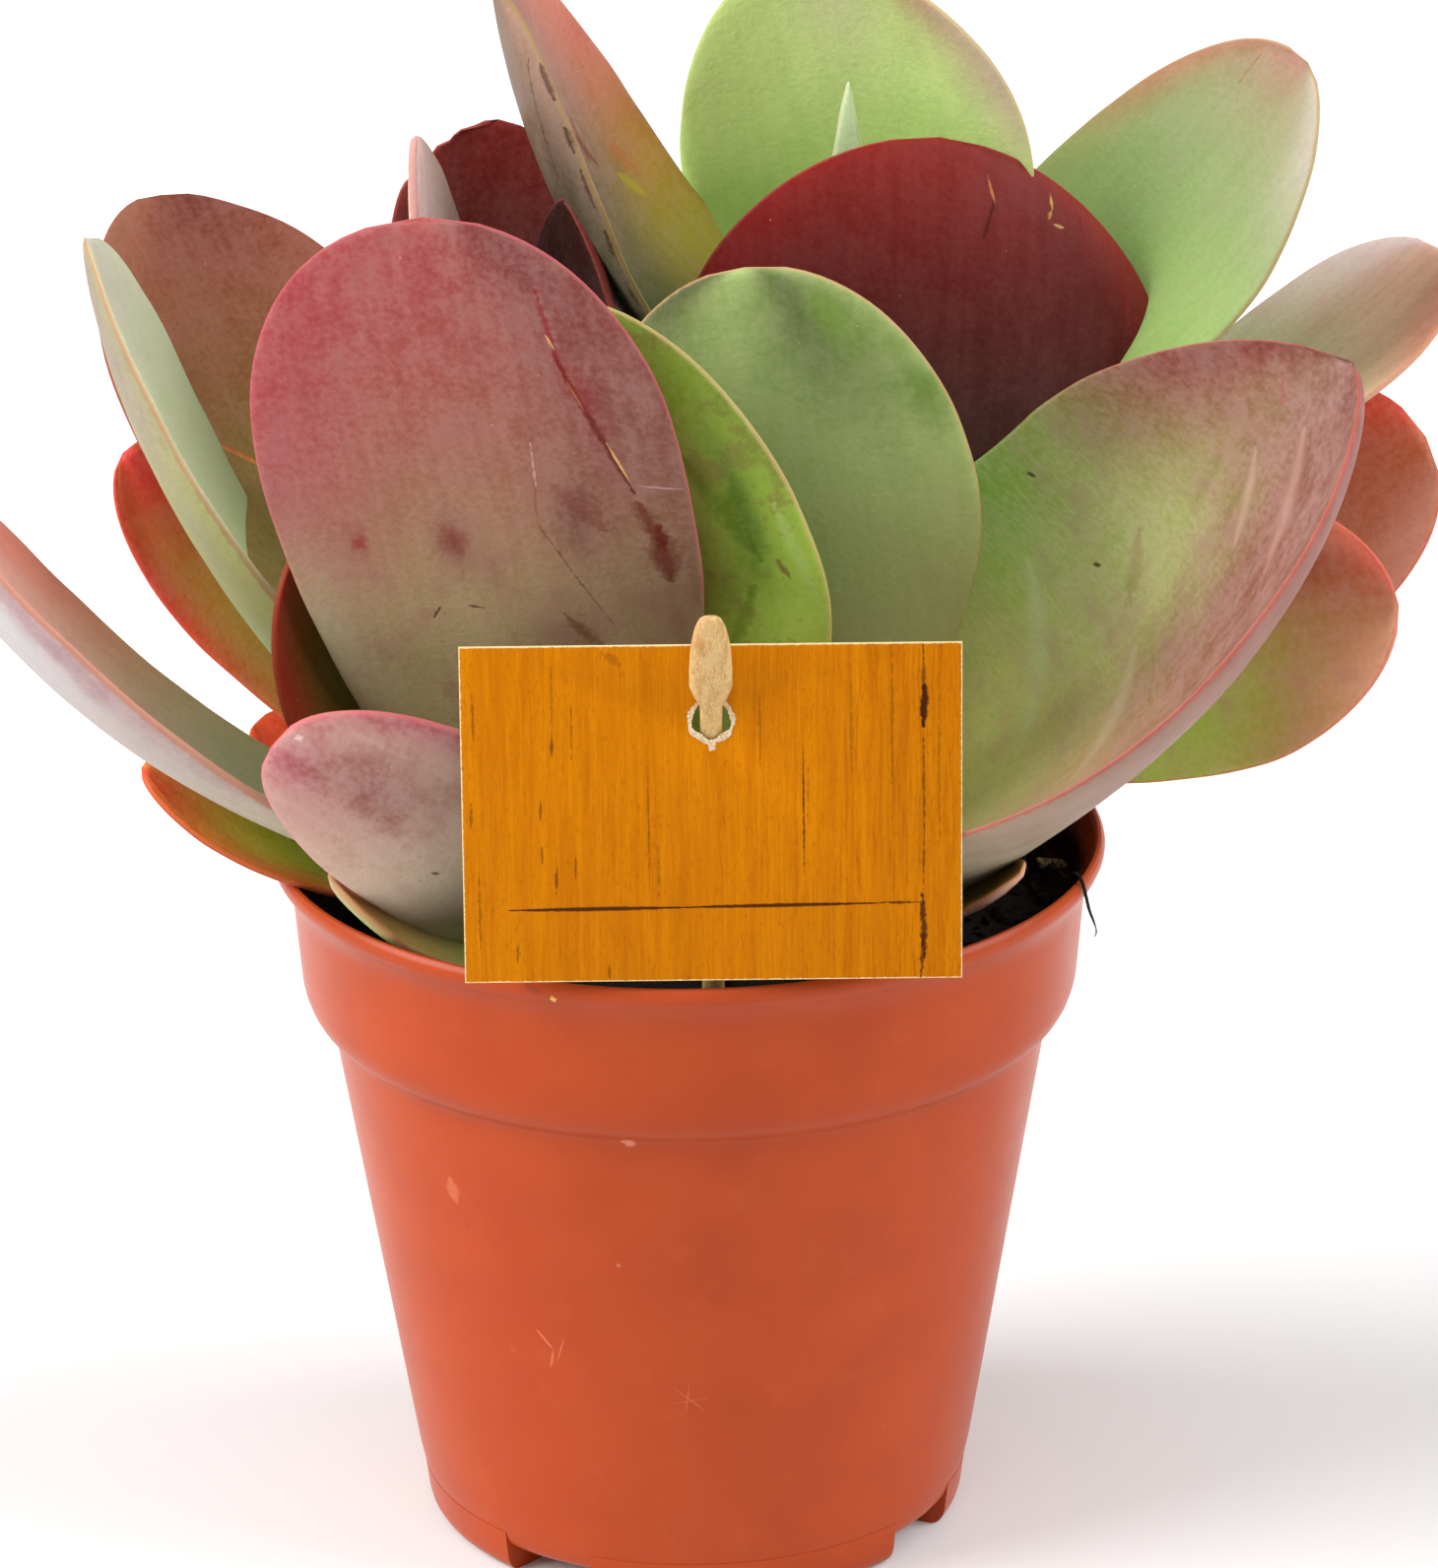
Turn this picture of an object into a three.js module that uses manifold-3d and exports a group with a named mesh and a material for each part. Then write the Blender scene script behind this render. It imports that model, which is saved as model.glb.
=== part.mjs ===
// A paddle plant (a flat-leaved succulent) in a 14 cm plastic nursery pot, with a punched
// card hung on a bamboo peg. Millimetres, +Z up. The origin is on the floor under the middle
// of the pot, and the peg and card stand at the front, towards -Y.
import * as THREE from "three";
import { mergeVertices } from "three/addons/utils/BufferGeometryUtils.js";
import Module from "manifold-3d";

const wasm = await Module();
wasm.setup();

// ---------------------------------------------------------------- driving dimensions
const GAP = 0.3; // clearance between pieces that touch

const POT = {
  height: 122,
  lipRadius: 70,
  baseRadius: 45.4,
  base: 4.5, // height of the base's underside over the floor
  wall: 1.3,
  segments: 40,
};

const FOOT = { count: 4, span: 69, turn: -9, width: 9, chamfer: 0.8, steps: 6 }; // degrees, mm
const DRAIN = { count: 8, radius: 4, circle: 30, sides: 10 };
const SOIL = { top: 111, crown: 2.5, segments: 30 };

const CARD = {
  width: 79,
  height: 55.5,
  thickness: 0.4,
  holeRadius: 3.4,
  holeDrop: 12.4, // from the top edge to the middle of the hole
  centre: [3.8, -68.2, 151.7],
  lean: 4, // degrees back from upright
};

// The peg leans back down into the soil along a straight line through its neck.
const PEG = { neck: [3.8, -67.3, 167.4], lean: 0.3, sides: 8 };

// The peg's [height, width, thickness] from its point to the end of its head.
const PEG_STATIONS = [
  [86, 0.8, 0.8],
  [92, 3.6, 2.2],
  [160, 3.6, 2.2],
  [164, 3.5, 1.4],
  [169.5, 3.5, 1.4],
  [171.5, 5.4, 1.8],
  [173.5, 6.8, 2.4],
  [180, 6.4, 3],
  [184.5, 4.8, 2.6],
  [186.5, 2.8, 1.4],
];

// Each stem is a row of [x, y, z, radius] points, from its root end to its growing tip.
const STEMS = {
  left_stem: [
    [-20, -6, 92, 8],
    [-23, -5, 125, 8],
    [-27, -2, 155, 6.5],
    [-30, 0, 182, 4.5],
    [-32, 1, 194, 2.5],
  ],
  right_stem: [
    [27, 8, 92, 9],
    [29, 11, 125, 9],
    [30, 17, 160, 7.5],
    [29, 24, 186, 5.5],
    [28, 28, 206, 3],
  ],
};

// A leaf is a paddle. base and tip are the ends of its midrib, and faces is the way its
// upper side looks. width is its widest, peak is the share of its length where that is, and
// rise and blunt shape its outline below and above that place. arch and sweep are how far
// the midrib bows, towards the under side and sideways. cup and baseCup are how steeply the
// margins rise on the blade and at the base, and twist turns the tip, in degrees. tint is
// its colour group.
const LEAF_DEFAULTS = {
  thickness: 3.6,
  baseThickness: 8,
  baseWidth: 20,
  peak: 0.6,
  rise: 1.3,
  blunt: 2,
  arch: 7,
  sweep: 0,
  cup: 0.15,
  baseCup: 0.3,
  twist: 0,
};

const LEAF_TINTS = { red: 0xa8736a, dark: 0x7c4a40, green: 0x93a566, pale: 0xb7ad95 };

const LEAVES = {
  left_front_leaf: {
    base: [-19, -12, 113], tip: [-40, -58, 247], faces: [0.1, 0.9, 0.4],
    width: 69, baseWidth: 24, peak: 0.7, rise: 0.9, blunt: 2.2, arch: 5, sweep: 1, cup: -0.1,
    twist: -15, tint: "red",
  },
  left_centre_leaf: {
    base: [-10, -9, 117], tip: [-16, -41, 228], faces: [0.4, 0.9, 0.3],
    width: 70, peak: 0.56, blunt: 1.7, arch: 6, sweep: 5, twist: -8, tint: "green",
  },
  left_low_front_leaf: {
    base: [-19, -16, 113], tip: [-66, -58, 160], faces: [-0.2, 0.9, 0.4],
    width: 38, peak: 0.54, rise: 0.4, blunt: 2.3, arch: 10, sweep: 7, baseCup: 0, tint: "red",
  },
  left_under_leaf: {
    base: [-24, -22, 108], tip: [-58, -43, 131], faces: [0, -0.4, 0.9],
    width: 24, baseWidth: 12, baseThickness: 5, arch: 2, tint: "green",
  },
  left_rim_leaf: {
    base: [-27, -6, 117], tip: [-90, -17, 141], faces: [0.1, -0.4, 0.9],
    width: 25, arch: 5, sweep: 2, tint: "red",
  },
  left_long_leaf: {
    base: [-29, -10, 121], tip: [-129, -38, 206], faces: [0, 0, 1],
    width: 52, arch: 17, sweep: 3, cup: 0.33, baseCup: 0.12, twist: -6, tint: "pale",
  },
  left_dark_leaf: {
    base: [-27, -11, 124], tip: [-63, -31, 183], faces: [0.5, -0.7, 0.5],
    width: 37, sweep: 2, cup: 0.1, twist: 5, tint: "dark",
  },
  left_upright_leaf: {
    base: [-34, 2, 124], tip: [-97, 0, 227], faces: [0.9, 0.1, 0.3],
    width: 41, baseWidth: 15, blunt: 1.8, arch: 12, sweep: 3, cup: 0.32, baseCup: 0.4, twist: -21,
    tint: "pale",
  },
  left_red_leaf: {
    base: [-29, 3, 122], tip: [-94, 18, 184], faces: [0.2, -0.9, 0.4],
    width: 32, peak: 0.63, arch: 8, sweep: -2, tint: "red",
  },
  left_low_back_leaf: {
    base: [-27, 3, 118], tip: [-74, 30, 131], faces: [0.3, -0.5, 0.8],
    width: 24, arch: 2, tint: "red",
  },
  left_rear_leaf: {
    base: [-29, 6, 139], tip: [-89, 58, 217], faces: [0.5, -0.7, 0.5],
    width: 59, arch: 1, sweep: 6, cup: 0.2, twist: 15, tint: "dark",
  },
  left_back_leaf: {
    base: [-29, 5, 161], tip: [-30, 22, 240], faces: [0, -1, 0.3],
    width: 34, arch: 5, sweep: 3, tint: "dark",
  },
  left_inner_leaf: {
    base: [-26, 1, 170], tip: [-19, 3, 232], faces: [-0.8, -0.5, 0.3],
    width: 21, baseWidth: 13, arch: 6, tint: "dark",
  },
  left_bud_leaf: {
    base: [-33, 1, 184], tip: [-43, 2, 243], faces: [0.9, -0.4, 0.1],
    width: 17, baseWidth: 11, baseThickness: 5, arch: 1, tint: "pale",
  },
  right_small_leaf: {
    base: [34, -2, 112], tip: [54, -37, 128], faces: [-0.3, -0.2, 0.9],
    width: 17, thickness: 2.4, baseWidth: 9, baseThickness: 4, arch: 3, sweep: -2, tint: "green",
  },
  right_front_leaf: {
    base: [35, 2, 113], tip: [107, -30, 213], faces: [-0.6, -0.3, 0.7],
    width: 88, baseWidth: 29, baseThickness: 11, peak: 0.54, rise: 0.25, arch: 6, sweep: -13,
    cup: 0.53, baseCup: 1.1, twist: 30, tint: "red",
  },
  right_centre_leaf: {
    base: [25, 4, 125], tip: [10, -24, 228], faces: [0.1, 0.9, 0.3],
    width: 63, peak: 0.61, arch: 8, sweep: 1, tint: "green",
  },
  right_low_leaf: {
    base: [36, 10, 129], tip: [118, -6, 163], faces: [-0.1, -0.95, 0.3],
    width: 46, peak: 0.64, rise: 1.5, arch: 9, sweep: 5, tint: "red",
  },
  right_outer_leaf: {
    base: [36, 18, 132], tip: [126, 34, 179], faces: [-0.2, -0.9, 0.3],
    width: 47, peak: 0.62, blunt: 2.3, tint: "red",
  },
  right_back_leaf: {
    base: [33, 13, 141], tip: [43, 26, 235], faces: [-0.2, 0.9, 0.3],
    width: 89, peak: 0.55, arch: 9, cup: 0.13, baseCup: 0.2, twist: 6, tint: "dark",
  },
  right_far_leaf: {
    base: [37, 22, 160], tip: [130, 50, 207], faces: [-0.4, -0.2, 0.9],
    width: 40, peak: 0.67, blunt: 2.3, sweep: -3, twist: 20, tint: "pale",
  },
  top_left_leaf: {
    base: [25, 22, 177], tip: [-30, 19, 264], faces: [1, -0.1, 0.2],
    width: 64, arch: 9, sweep: -3, cup: 0.31, twist: 13, tint: "green",
  },
  top_right_leaf: {
    base: [34, 23, 178], tip: [105, 37, 244], faces: [-0.5, -0.7, 0.6],
    width: 51, arch: 11, sweep: 2, twist: -14, tint: "green",
  },
  top_green_leaf: {
    base: [30, 28, 181], tip: [22, 45, 262], faces: [-0.4, -0.9, 0],
    width: 65, peak: 0.57, arch: 12, sweep: -1, baseCup: 0.15, twist: -15, tint: "green",
  },
  right_bud_leaf: {
    base: [28, 28, 202], tip: [28, 32, 243], faces: [-0.4, 0.9, 0],
    width: 9, baseWidth: 7, baseThickness: 5, thickness: 2.8, arch: 2, sweep: -1, tint: "pale",
  },
  back_low_left_leaf: {
    base: [-22, 2, 116], tip: [-12, 70, 138], faces: [0, -0.6, 1],
    width: 42, tint: "red",
  },
  back_low_right_leaf: {
    base: [32, 16, 117], tip: [70, 58, 144], faces: [-0.5, -0.6, 1],
    width: 42, tint: "green",
  },
  back_left_leaf: {
    base: [-24, 3, 126], tip: [-40, 64, 188], faces: [0, -1, 1],
    width: 54, tint: "dark",
  },
  back_centre_leaf: {
    base: [24, 16, 122], tip: [10, 73, 173], faces: [0.2, -1, 1],
    width: 56, tint: "green",
  },
  back_right_leaf: {
    base: [32, 20, 142], tip: [56, 70, 194], faces: [-0.3, -1, 1],
    width: 50, tint: "red",
  },
  back_tall_leaf: {
    base: [28, 22, 164], tip: [20, 62, 216], faces: [0, -1, 0.6],
    width: 52, tint: "green",
  },
};

// ---------------------------------------------------------------- solids
/** A closed geometry as a manifold solid. */
function solid(geometry) {
  const bare = geometry.clone();
  bare.deleteAttribute("normal");
  bare.deleteAttribute("uv");
  const merged = mergeVertices(bare, 1e-4);
  const mesh = new wasm.Mesh({
    numProp: 3,
    vertProperties: merged.attributes.position.array,
    triVerts: new Uint32Array(merged.index.array),
  });
  return new wasm.Manifold(mesh);
}

/** The largest body of a manifold as a geometry, without the crumbs that a cut leaves. */
function geometryOf(manifold) {
  const bodies = manifold.simplify(0.05).decompose();
  const main = bodies.reduce((a, b) => (b.volume() > a.volume() ? b : a));
  const { vertProperties, triVerts } = main.getMesh();
  return new THREE.BufferGeometry()
    .setAttribute("position", new THREE.BufferAttribute(vertProperties, 3))
    .setIndex(new THREE.BufferAttribute(triVerts, 1));
}

/** A solid skinned over closed rings of points that run anticlockwise seen from its end. */
function loft(rings) {
  const sides = rings[0].length;
  const points = [...rings.flat(), middleOf(rings[0]), middleOf(rings.at(-1))];
  const start = points.length - 2;
  const end = points.length - 1;
  const lastRow = (rings.length - 1) * sides;
  const index = [];
  for (let k = 0; k < sides; k++) {
    const next = (k + 1) % sides;
    for (let row = 0; row < lastRow; row += sides) {
      index.push(row + k, row + next, row + k + sides);
      index.push(row + next, row + next + sides, row + k + sides);
    }
    index.push(start, next, k);
    index.push(end, lastRow + k, lastRow + next);
  }
  return solid(new THREE.BufferGeometry().setFromPoints(points).setIndex(index));
}

function middleOf(ring) {
  const sum = ring.reduce((total, point) => total.add(point), new THREE.Vector3());
  return sum.divideScalar(ring.length);
}

/** A closed profile of [radius, z] points turned about the z axis. */
function turned(profile, segments) {
  const points = profile.map(([radius, z]) => new THREE.Vector2(radius, z));
  return solid(new THREE.LatheGeometry(points, segments).rotateX(Math.PI / 2));
}

/** A point at a radius and an angle, in radians from the front. */
function around(radius, turn, z) {
  return new THREE.Vector3(radius * Math.sin(turn), -radius * Math.cos(turn), z);
}

/** A solid less the skins that reach it. */
function fitted(body, skins) {
  return skins.reduce((rest, skin) => rest.subtract(skin), body);
}

// ---------------------------------------------------------------- pot
function potSolid() {
  const floor = POT.base + POT.wall;
  const outside = [
    [44.2, POT.base],
    [POT.baseRadius, 5],
    [46.5, 6.8],
    [47.8, 12.2],
    [60.8, 91.6],
    [62.8, 92.8],
    [64.6, 95.3],
    [65.5, 98.6],
    [66.7, 113],
    [67.4, 116],
    [68.8, 118.2],
    [POT.lipRadius, 119.6],
    [POT.lipRadius, 121.2],
    [69.5, POT.height],
  ];
  const inside = [
    [68.4, 121.6],
    [67.6, 119.2],
    [66, 116.4],
    [65.4, 113],
    [64.2, 99],
    [62.9, 95.9],
    [59.5, 92.6],
    [46.5, 12.4],
    [45, 7.4],
    [43.6, floor],
  ];
  const profile = [[0, POT.base], ...outside, ...inside, [0, floor], [0, POT.base]];
  let pot = turned(profile, POT.segments);
  for (let i = 0; i < FOOT.count; i++) {
    pot = pot.add(footSolid(FOOT.turn + (i * 360) / FOOT.count));
  }
  for (let i = 0; i < DRAIN.count; i++) {
    pot = pot.subtract(drainSolid(((i + 0.5) * 2 * Math.PI) / DRAIN.count));
  }
  return pot;
}

/** One curved pad under the edge of the base, its middle at an angle from the front. */
function footSolid(middle) {
  const outer = 43.6;
  const inner = outer - FOOT.width;
  const section = [
    [inner, 5.2],
    [inner, FOOT.chamfer],
    [inner + FOOT.chamfer, 0],
    [outer, 0],
    [45.4, 0.9],
    [46.3, 3],
    [46.9, 8],
    [46.2, 8],
    [44.4, 5.2],
  ];
  const rings = [];
  for (let step = 0; step <= FOOT.steps; step++) {
    const turn = THREE.MathUtils.degToRad(middle + FOOT.span * (0.5 - step / FOOT.steps));
    rings.push(section.map(([radius, z]) => around(radius, turn, z)));
  }
  return loft(rings);
}

/** The cutter of one drain hole. */
function drainSolid(turn) {
  const length = 4 * POT.wall;
  const hole = new THREE.CylinderGeometry(DRAIN.radius, DRAIN.radius, length, DRAIN.sides);
  const place = around(DRAIN.circle, turn, POT.base + POT.wall / 2);
  return solid(hole.rotateX(Math.PI / 2).translate(place.x, place.y, place.z));
}

// ---------------------------------------------------------------- soil
/** The plug of soil, which follows the inside of the pot and crowns in the middle. */
function soilSolid() {
  const floor = POT.base + POT.wall + GAP;
  const profile = [
    [0, floor],
    [43.2, floor],
    [44.6, 7.6],
    [46.1, 12.6],
    [59.1, 92.9],
    [62.5, 96.2],
    [63.8, 99.2],
    [64.7, SOIL.top - 1.5],
    [56, SOIL.top - 0.5],
    [38, SOIL.top + 0.6 * SOIL.crown],
    [18, SOIL.top + SOIL.crown],
    [0, SOIL.top + SOIL.crown],
    [0, floor],
  ];
  return turned(profile, SOIL.segments);
}

// ---------------------------------------------------------------- stems
/** A stem along its points. grow widens it into a cutter that leaves clearance. */
function stemSolid(nodes, grow = 0) {
  const sides = 12;
  const rows = 10;
  const path = new THREE.CatmullRomCurve3(nodes.map(([x, y, z]) => new THREE.Vector3(x, y, z)));
  const rings = [];
  for (let row = 0; row <= rows; row++) {
    const at = (row / rows) * (nodes.length - 1);
    const k = Math.min(Math.floor(at), nodes.length - 2);
    const radius = THREE.MathUtils.lerp(nodes[k][3], nodes[k + 1][3], at - k) + grow;
    const centre = path.getPoint(row / rows);
    if (row === 0) centre.z -= grow;
    if (row === rows) centre.z += grow;
    rings.push(
      Array.from({ length: sides }, (_, side) => {
        return around(radius, (2 * Math.PI * side) / sides, 0).add(centre);
      }),
    );
  }
  return loft(rings);
}

// ---------------------------------------------------------------- leaves
/** A leaf's full width at a share t of its length. */
function widthAt(leaf, t) {
  if (t > leaf.peak) {
    const past = (t - leaf.peak) / (1 - leaf.peak);
    return leaf.width * Math.pow(1 - Math.pow(past, leaf.blunt), 1 / leaf.blunt);
  }
  const rise = Math.pow(Math.sin(((Math.PI / 2) * t) / leaf.peak), leaf.rise);
  return THREE.MathUtils.lerp(leaf.baseWidth, leaf.width, rise);
}

/** A leaf's thickness on its midrib at a share t of its length. */
function thicknessAt(leaf, t) {
  const nearBase = Math.exp(-Math.pow(t / 0.3, 2));
  const past = Math.max(0, (t - leaf.peak) / (1 - leaf.peak));
  const thinning = Math.pow(1 - past * past, 0.3);
  return THREE.MathUtils.lerp(leaf.thickness, leaf.baseThickness, nearBase) * thinning;
}

/** How steeply a leaf's margins rise at a share t of its length. */
function cupAt(leaf, t) {
  return THREE.MathUtils.lerp(leaf.cup, leaf.baseCup, Math.exp(-Math.pow(t / 0.4, 2)));
}

/** The midrib of a leaf as a curve. */
function midribOf(leaf, base, tip, up) {
  const chord = tip.clone().sub(base).normalize();
  const side = chord.clone().cross(up);
  const control = base.clone().lerp(tip, 0.5);
  control.addScaledVector(up, -2 * leaf.arch);
  control.addScaledVector(side, -2 * leaf.sweep);
  return new THREE.QuadraticBezierCurve3(base, control, tip);
}

/** A leaf. grow thickens it into a cutter that leaves clearance. */
function leafSolid(given, grow = 0) {
  const leaf = { ...LEAF_DEFAULTS, ...given };
  const base = new THREE.Vector3(...leaf.base);
  const tip = new THREE.Vector3(...leaf.tip);
  const chord = tip.clone().sub(base).normalize();
  const up = new THREE.Vector3(...leaf.faces).projectOnPlane(chord).normalize();
  const midrib = midribOf(leaf, base, tip, up);

  const rows = 5; // as many below the widest place as above it
  const shares = [];
  for (let i = 0; i < 2 * rows; i++) {
    const past = Math.sin(((Math.PI / 2) * (i - rows)) / rows);
    shares.push(i < rows ? (leaf.peak * i) / rows : leaf.peak + (1 - leaf.peak) * past);
  }
  const rings = shares.map((t) => leafRing(leaf, midrib, up, t, grow));
  const end = tip.clone().addScaledVector(chord, grow);
  rings.push(rings.at(-1).map((point) => point.clone().lerp(end, 0.96)));
  return loft(rings);
}

/** The cross-section of a leaf at a share t of its length: a lens with raised margins. */
function leafRing(leaf, midrib, up, t, grow) {
  const sides = 10;
  const along = midrib.getTangent(t).normalize();
  const normal = up.clone().projectOnPlane(along).normalize();
  normal.applyAxisAngle(along, THREE.MathUtils.degToRad(leaf.twist * (t - 0.5)));
  const across = normal.clone().cross(along);
  const cup = cupAt(leaf, t);
  const halfWidth = widthAt(leaf, t) / 2;
  const halfThick = thicknessAt(leaf, t) / 2 + grow * Math.hypot(1, 2 * cup);
  return Array.from({ length: sides }, (_, side) => {
    const turn = (2 * Math.PI * side) / sides;
    const out = Math.cos(turn) * (halfWidth + grow);
    const bulge = Math.sign(Math.sin(turn)) * Math.pow(Math.abs(Math.sin(turn)), 0.6);
    const height = bulge * halfThick + (cup * out * out) / halfWidth;
    return midrib.getPoint(t).addScaledVector(across, out).addScaledVector(normal, height);
  });
}

// ---------------------------------------------------------------- card and peg
function cardSolid() {
  const outline = new THREE.Shape();
  const right = CARD.width / 2;
  const top = CARD.height / 2;
  outline.moveTo(-right, -top);
  outline.lineTo(right, -top);
  outline.lineTo(right, top);
  outline.lineTo(-right, top);
  outline.closePath();
  const hole = new THREE.Path();
  hole.absarc(0, top - CARD.holeDrop, CARD.holeRadius, 0, 2 * Math.PI, true);
  outline.holes.push(hole);
  const settings = { depth: CARD.thickness, bevelEnabled: false, curveSegments: 8 };
  const sheet = new THREE.ExtrudeGeometry(outline, settings);
  sheet.translate(0, 0, -CARD.thickness / 2);
  sheet.rotateX(THREE.MathUtils.degToRad(90 - CARD.lean));
  return solid(sheet.translate(...CARD.centre));
}

/** The split bamboo peg. grow widens it into a cutter that leaves clearance. */
function pegSolid(grow = 0) {
  const [x, y, z] = PEG.neck;
  const corner = 0.5 / Math.cos(Math.PI / PEG.sides);
  const rings = PEG_STATIONS.map(([height, width, thickness]) => {
    const centre = new THREE.Vector3(x, y - PEG.lean * (height - z), height);
    return Array.from({ length: PEG.sides }, (_, side) => {
      const turn = (2 * Math.PI * (side + 0.5)) / PEG.sides;
      const out = new THREE.Vector3(width * Math.cos(turn), thickness * Math.sin(turn), 0);
      out.multiplyScalar(corner);
      return out.setLength(out.length() + grow).add(centre);
    });
  });
  return loft(rings);
}

// ---------------------------------------------------------------- materials
const plastic = () => matt(0xd0582f, 0.45);
const peat = () => matt(0x1d130c, 1);
const stemSkin = () => matt(0x7d9a4a, 0.6);
const leafSkin = (tint) => matt(LEAF_TINTS[tint], 0.5);
const printedCard = () => matt(0xd98a12, 0.7);
const bamboo = () => matt(0xd8b070, 0.7);

function matt(color, roughness) {
  return new THREE.MeshStandardMaterial({ color, roughness, metalness: 0 });
}

// ---------------------------------------------------------------- assembly
const plant = new THREE.Group();

function place(name, body, material) {
  const mesh = new THREE.Mesh(geometryOf(body), material);
  mesh.name = name;
  plant.add(mesh);
}

const skins = Object.values(STEMS).map((nodes) => stemSolid(nodes, GAP));

for (const [name, nodes] of Object.entries(STEMS)) {
  place(name, stemSolid(nodes), stemSkin());
}
for (const [name, leaf] of Object.entries(LEAVES)) {
  place(name, fitted(leafSolid(leaf), skins), leafSkin(leaf.tint));
  skins.push(leafSolid(leaf, GAP));
}
place("soil", fitted(soilSolid(), [...skins, pegSolid(GAP)]), peat());
place("pot", potSolid(), plastic());
place("card", cardSolid(), printedCard());
place("peg", pegSolid(), bamboo());

export default plant;
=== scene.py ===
"""A potted paddle plant: two fleshy stems of round leaves, peat, a nursery pot, and a card on a peg."""

from __future__ import annotations

import logging
import math
import random
from contextlib import contextmanager
from dataclasses import dataclass, replace
from enum import Enum
from typing import Any, Callable, Iterator, Sequence

import bmesh
import bpy
import numpy as np
from mathutils import Matrix, Vector


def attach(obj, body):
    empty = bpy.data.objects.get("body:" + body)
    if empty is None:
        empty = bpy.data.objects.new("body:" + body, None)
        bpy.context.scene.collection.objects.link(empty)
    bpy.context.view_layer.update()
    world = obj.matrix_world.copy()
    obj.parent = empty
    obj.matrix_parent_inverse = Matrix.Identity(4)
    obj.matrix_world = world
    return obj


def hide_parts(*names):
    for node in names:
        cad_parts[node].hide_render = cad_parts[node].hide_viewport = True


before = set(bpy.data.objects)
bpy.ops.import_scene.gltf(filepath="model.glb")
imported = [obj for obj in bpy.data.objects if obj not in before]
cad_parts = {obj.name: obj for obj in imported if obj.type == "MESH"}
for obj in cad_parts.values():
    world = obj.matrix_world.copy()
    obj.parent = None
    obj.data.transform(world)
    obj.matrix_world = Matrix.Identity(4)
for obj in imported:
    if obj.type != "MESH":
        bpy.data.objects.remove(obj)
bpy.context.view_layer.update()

LOG = logging.getLogger("paddle_plant")
MM = 0.001
BODY = "root"
ZERO = (0.0, 0.0, 0.0)
LEVEL = (1.0, 1.0, 0.0)

Triple = tuple[float, float, float]
Pair = tuple[float, float]
Colour = tuple[float, float, float, float]
Inks = tuple[str, ...]
Row = tuple[Any, ...]
Socket = bpy.types.NodeSocket
Thing = bpy.types.Object
Material = bpy.types.Material
Shape = bmesh.types.BMesh
Ring = list[bmesh.types.BMVert]


class Slot(Enum):
    """The record's material slots."""

    POT = "terracotta_plastic"
    PEAT = "peat"
    STEM = "stem_skin"
    RED = "red_leaf_skin"
    DARK = "dark_leaf_skin"
    GREEN = "green_leaf_skin"
    PALE = "pale_leaf_skin"
    CARD = "printed_card"
    PEG = "bamboo"


class Face(Enum):
    """The two faces of a leaf."""

    INNER = "inner"
    OUTER = "outer"


class Tooling(Enum):
    """What a tool does to the body that it meets."""

    JOIN = "UNION"
    CUT = "DIFFERENCE"


def paint(code: str) -> Colour:
    """Turns a colour written as six hex digits into linear light.

    Args:
        code: The colour as "rrggbb".

    Returns:
        Red, green, blue and an alpha of 1.
    """
    parts = [int(code[i : i + 2], 16) / 255 for i in (0, 2, 4)]
    light = [c / 12.92 if c <= 0.04045 else ((c + 0.055) / 1.055) ** 2.4 for c in parts]
    return (light[0], light[1], light[2], 1.0)


# ---------------- node work


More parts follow.
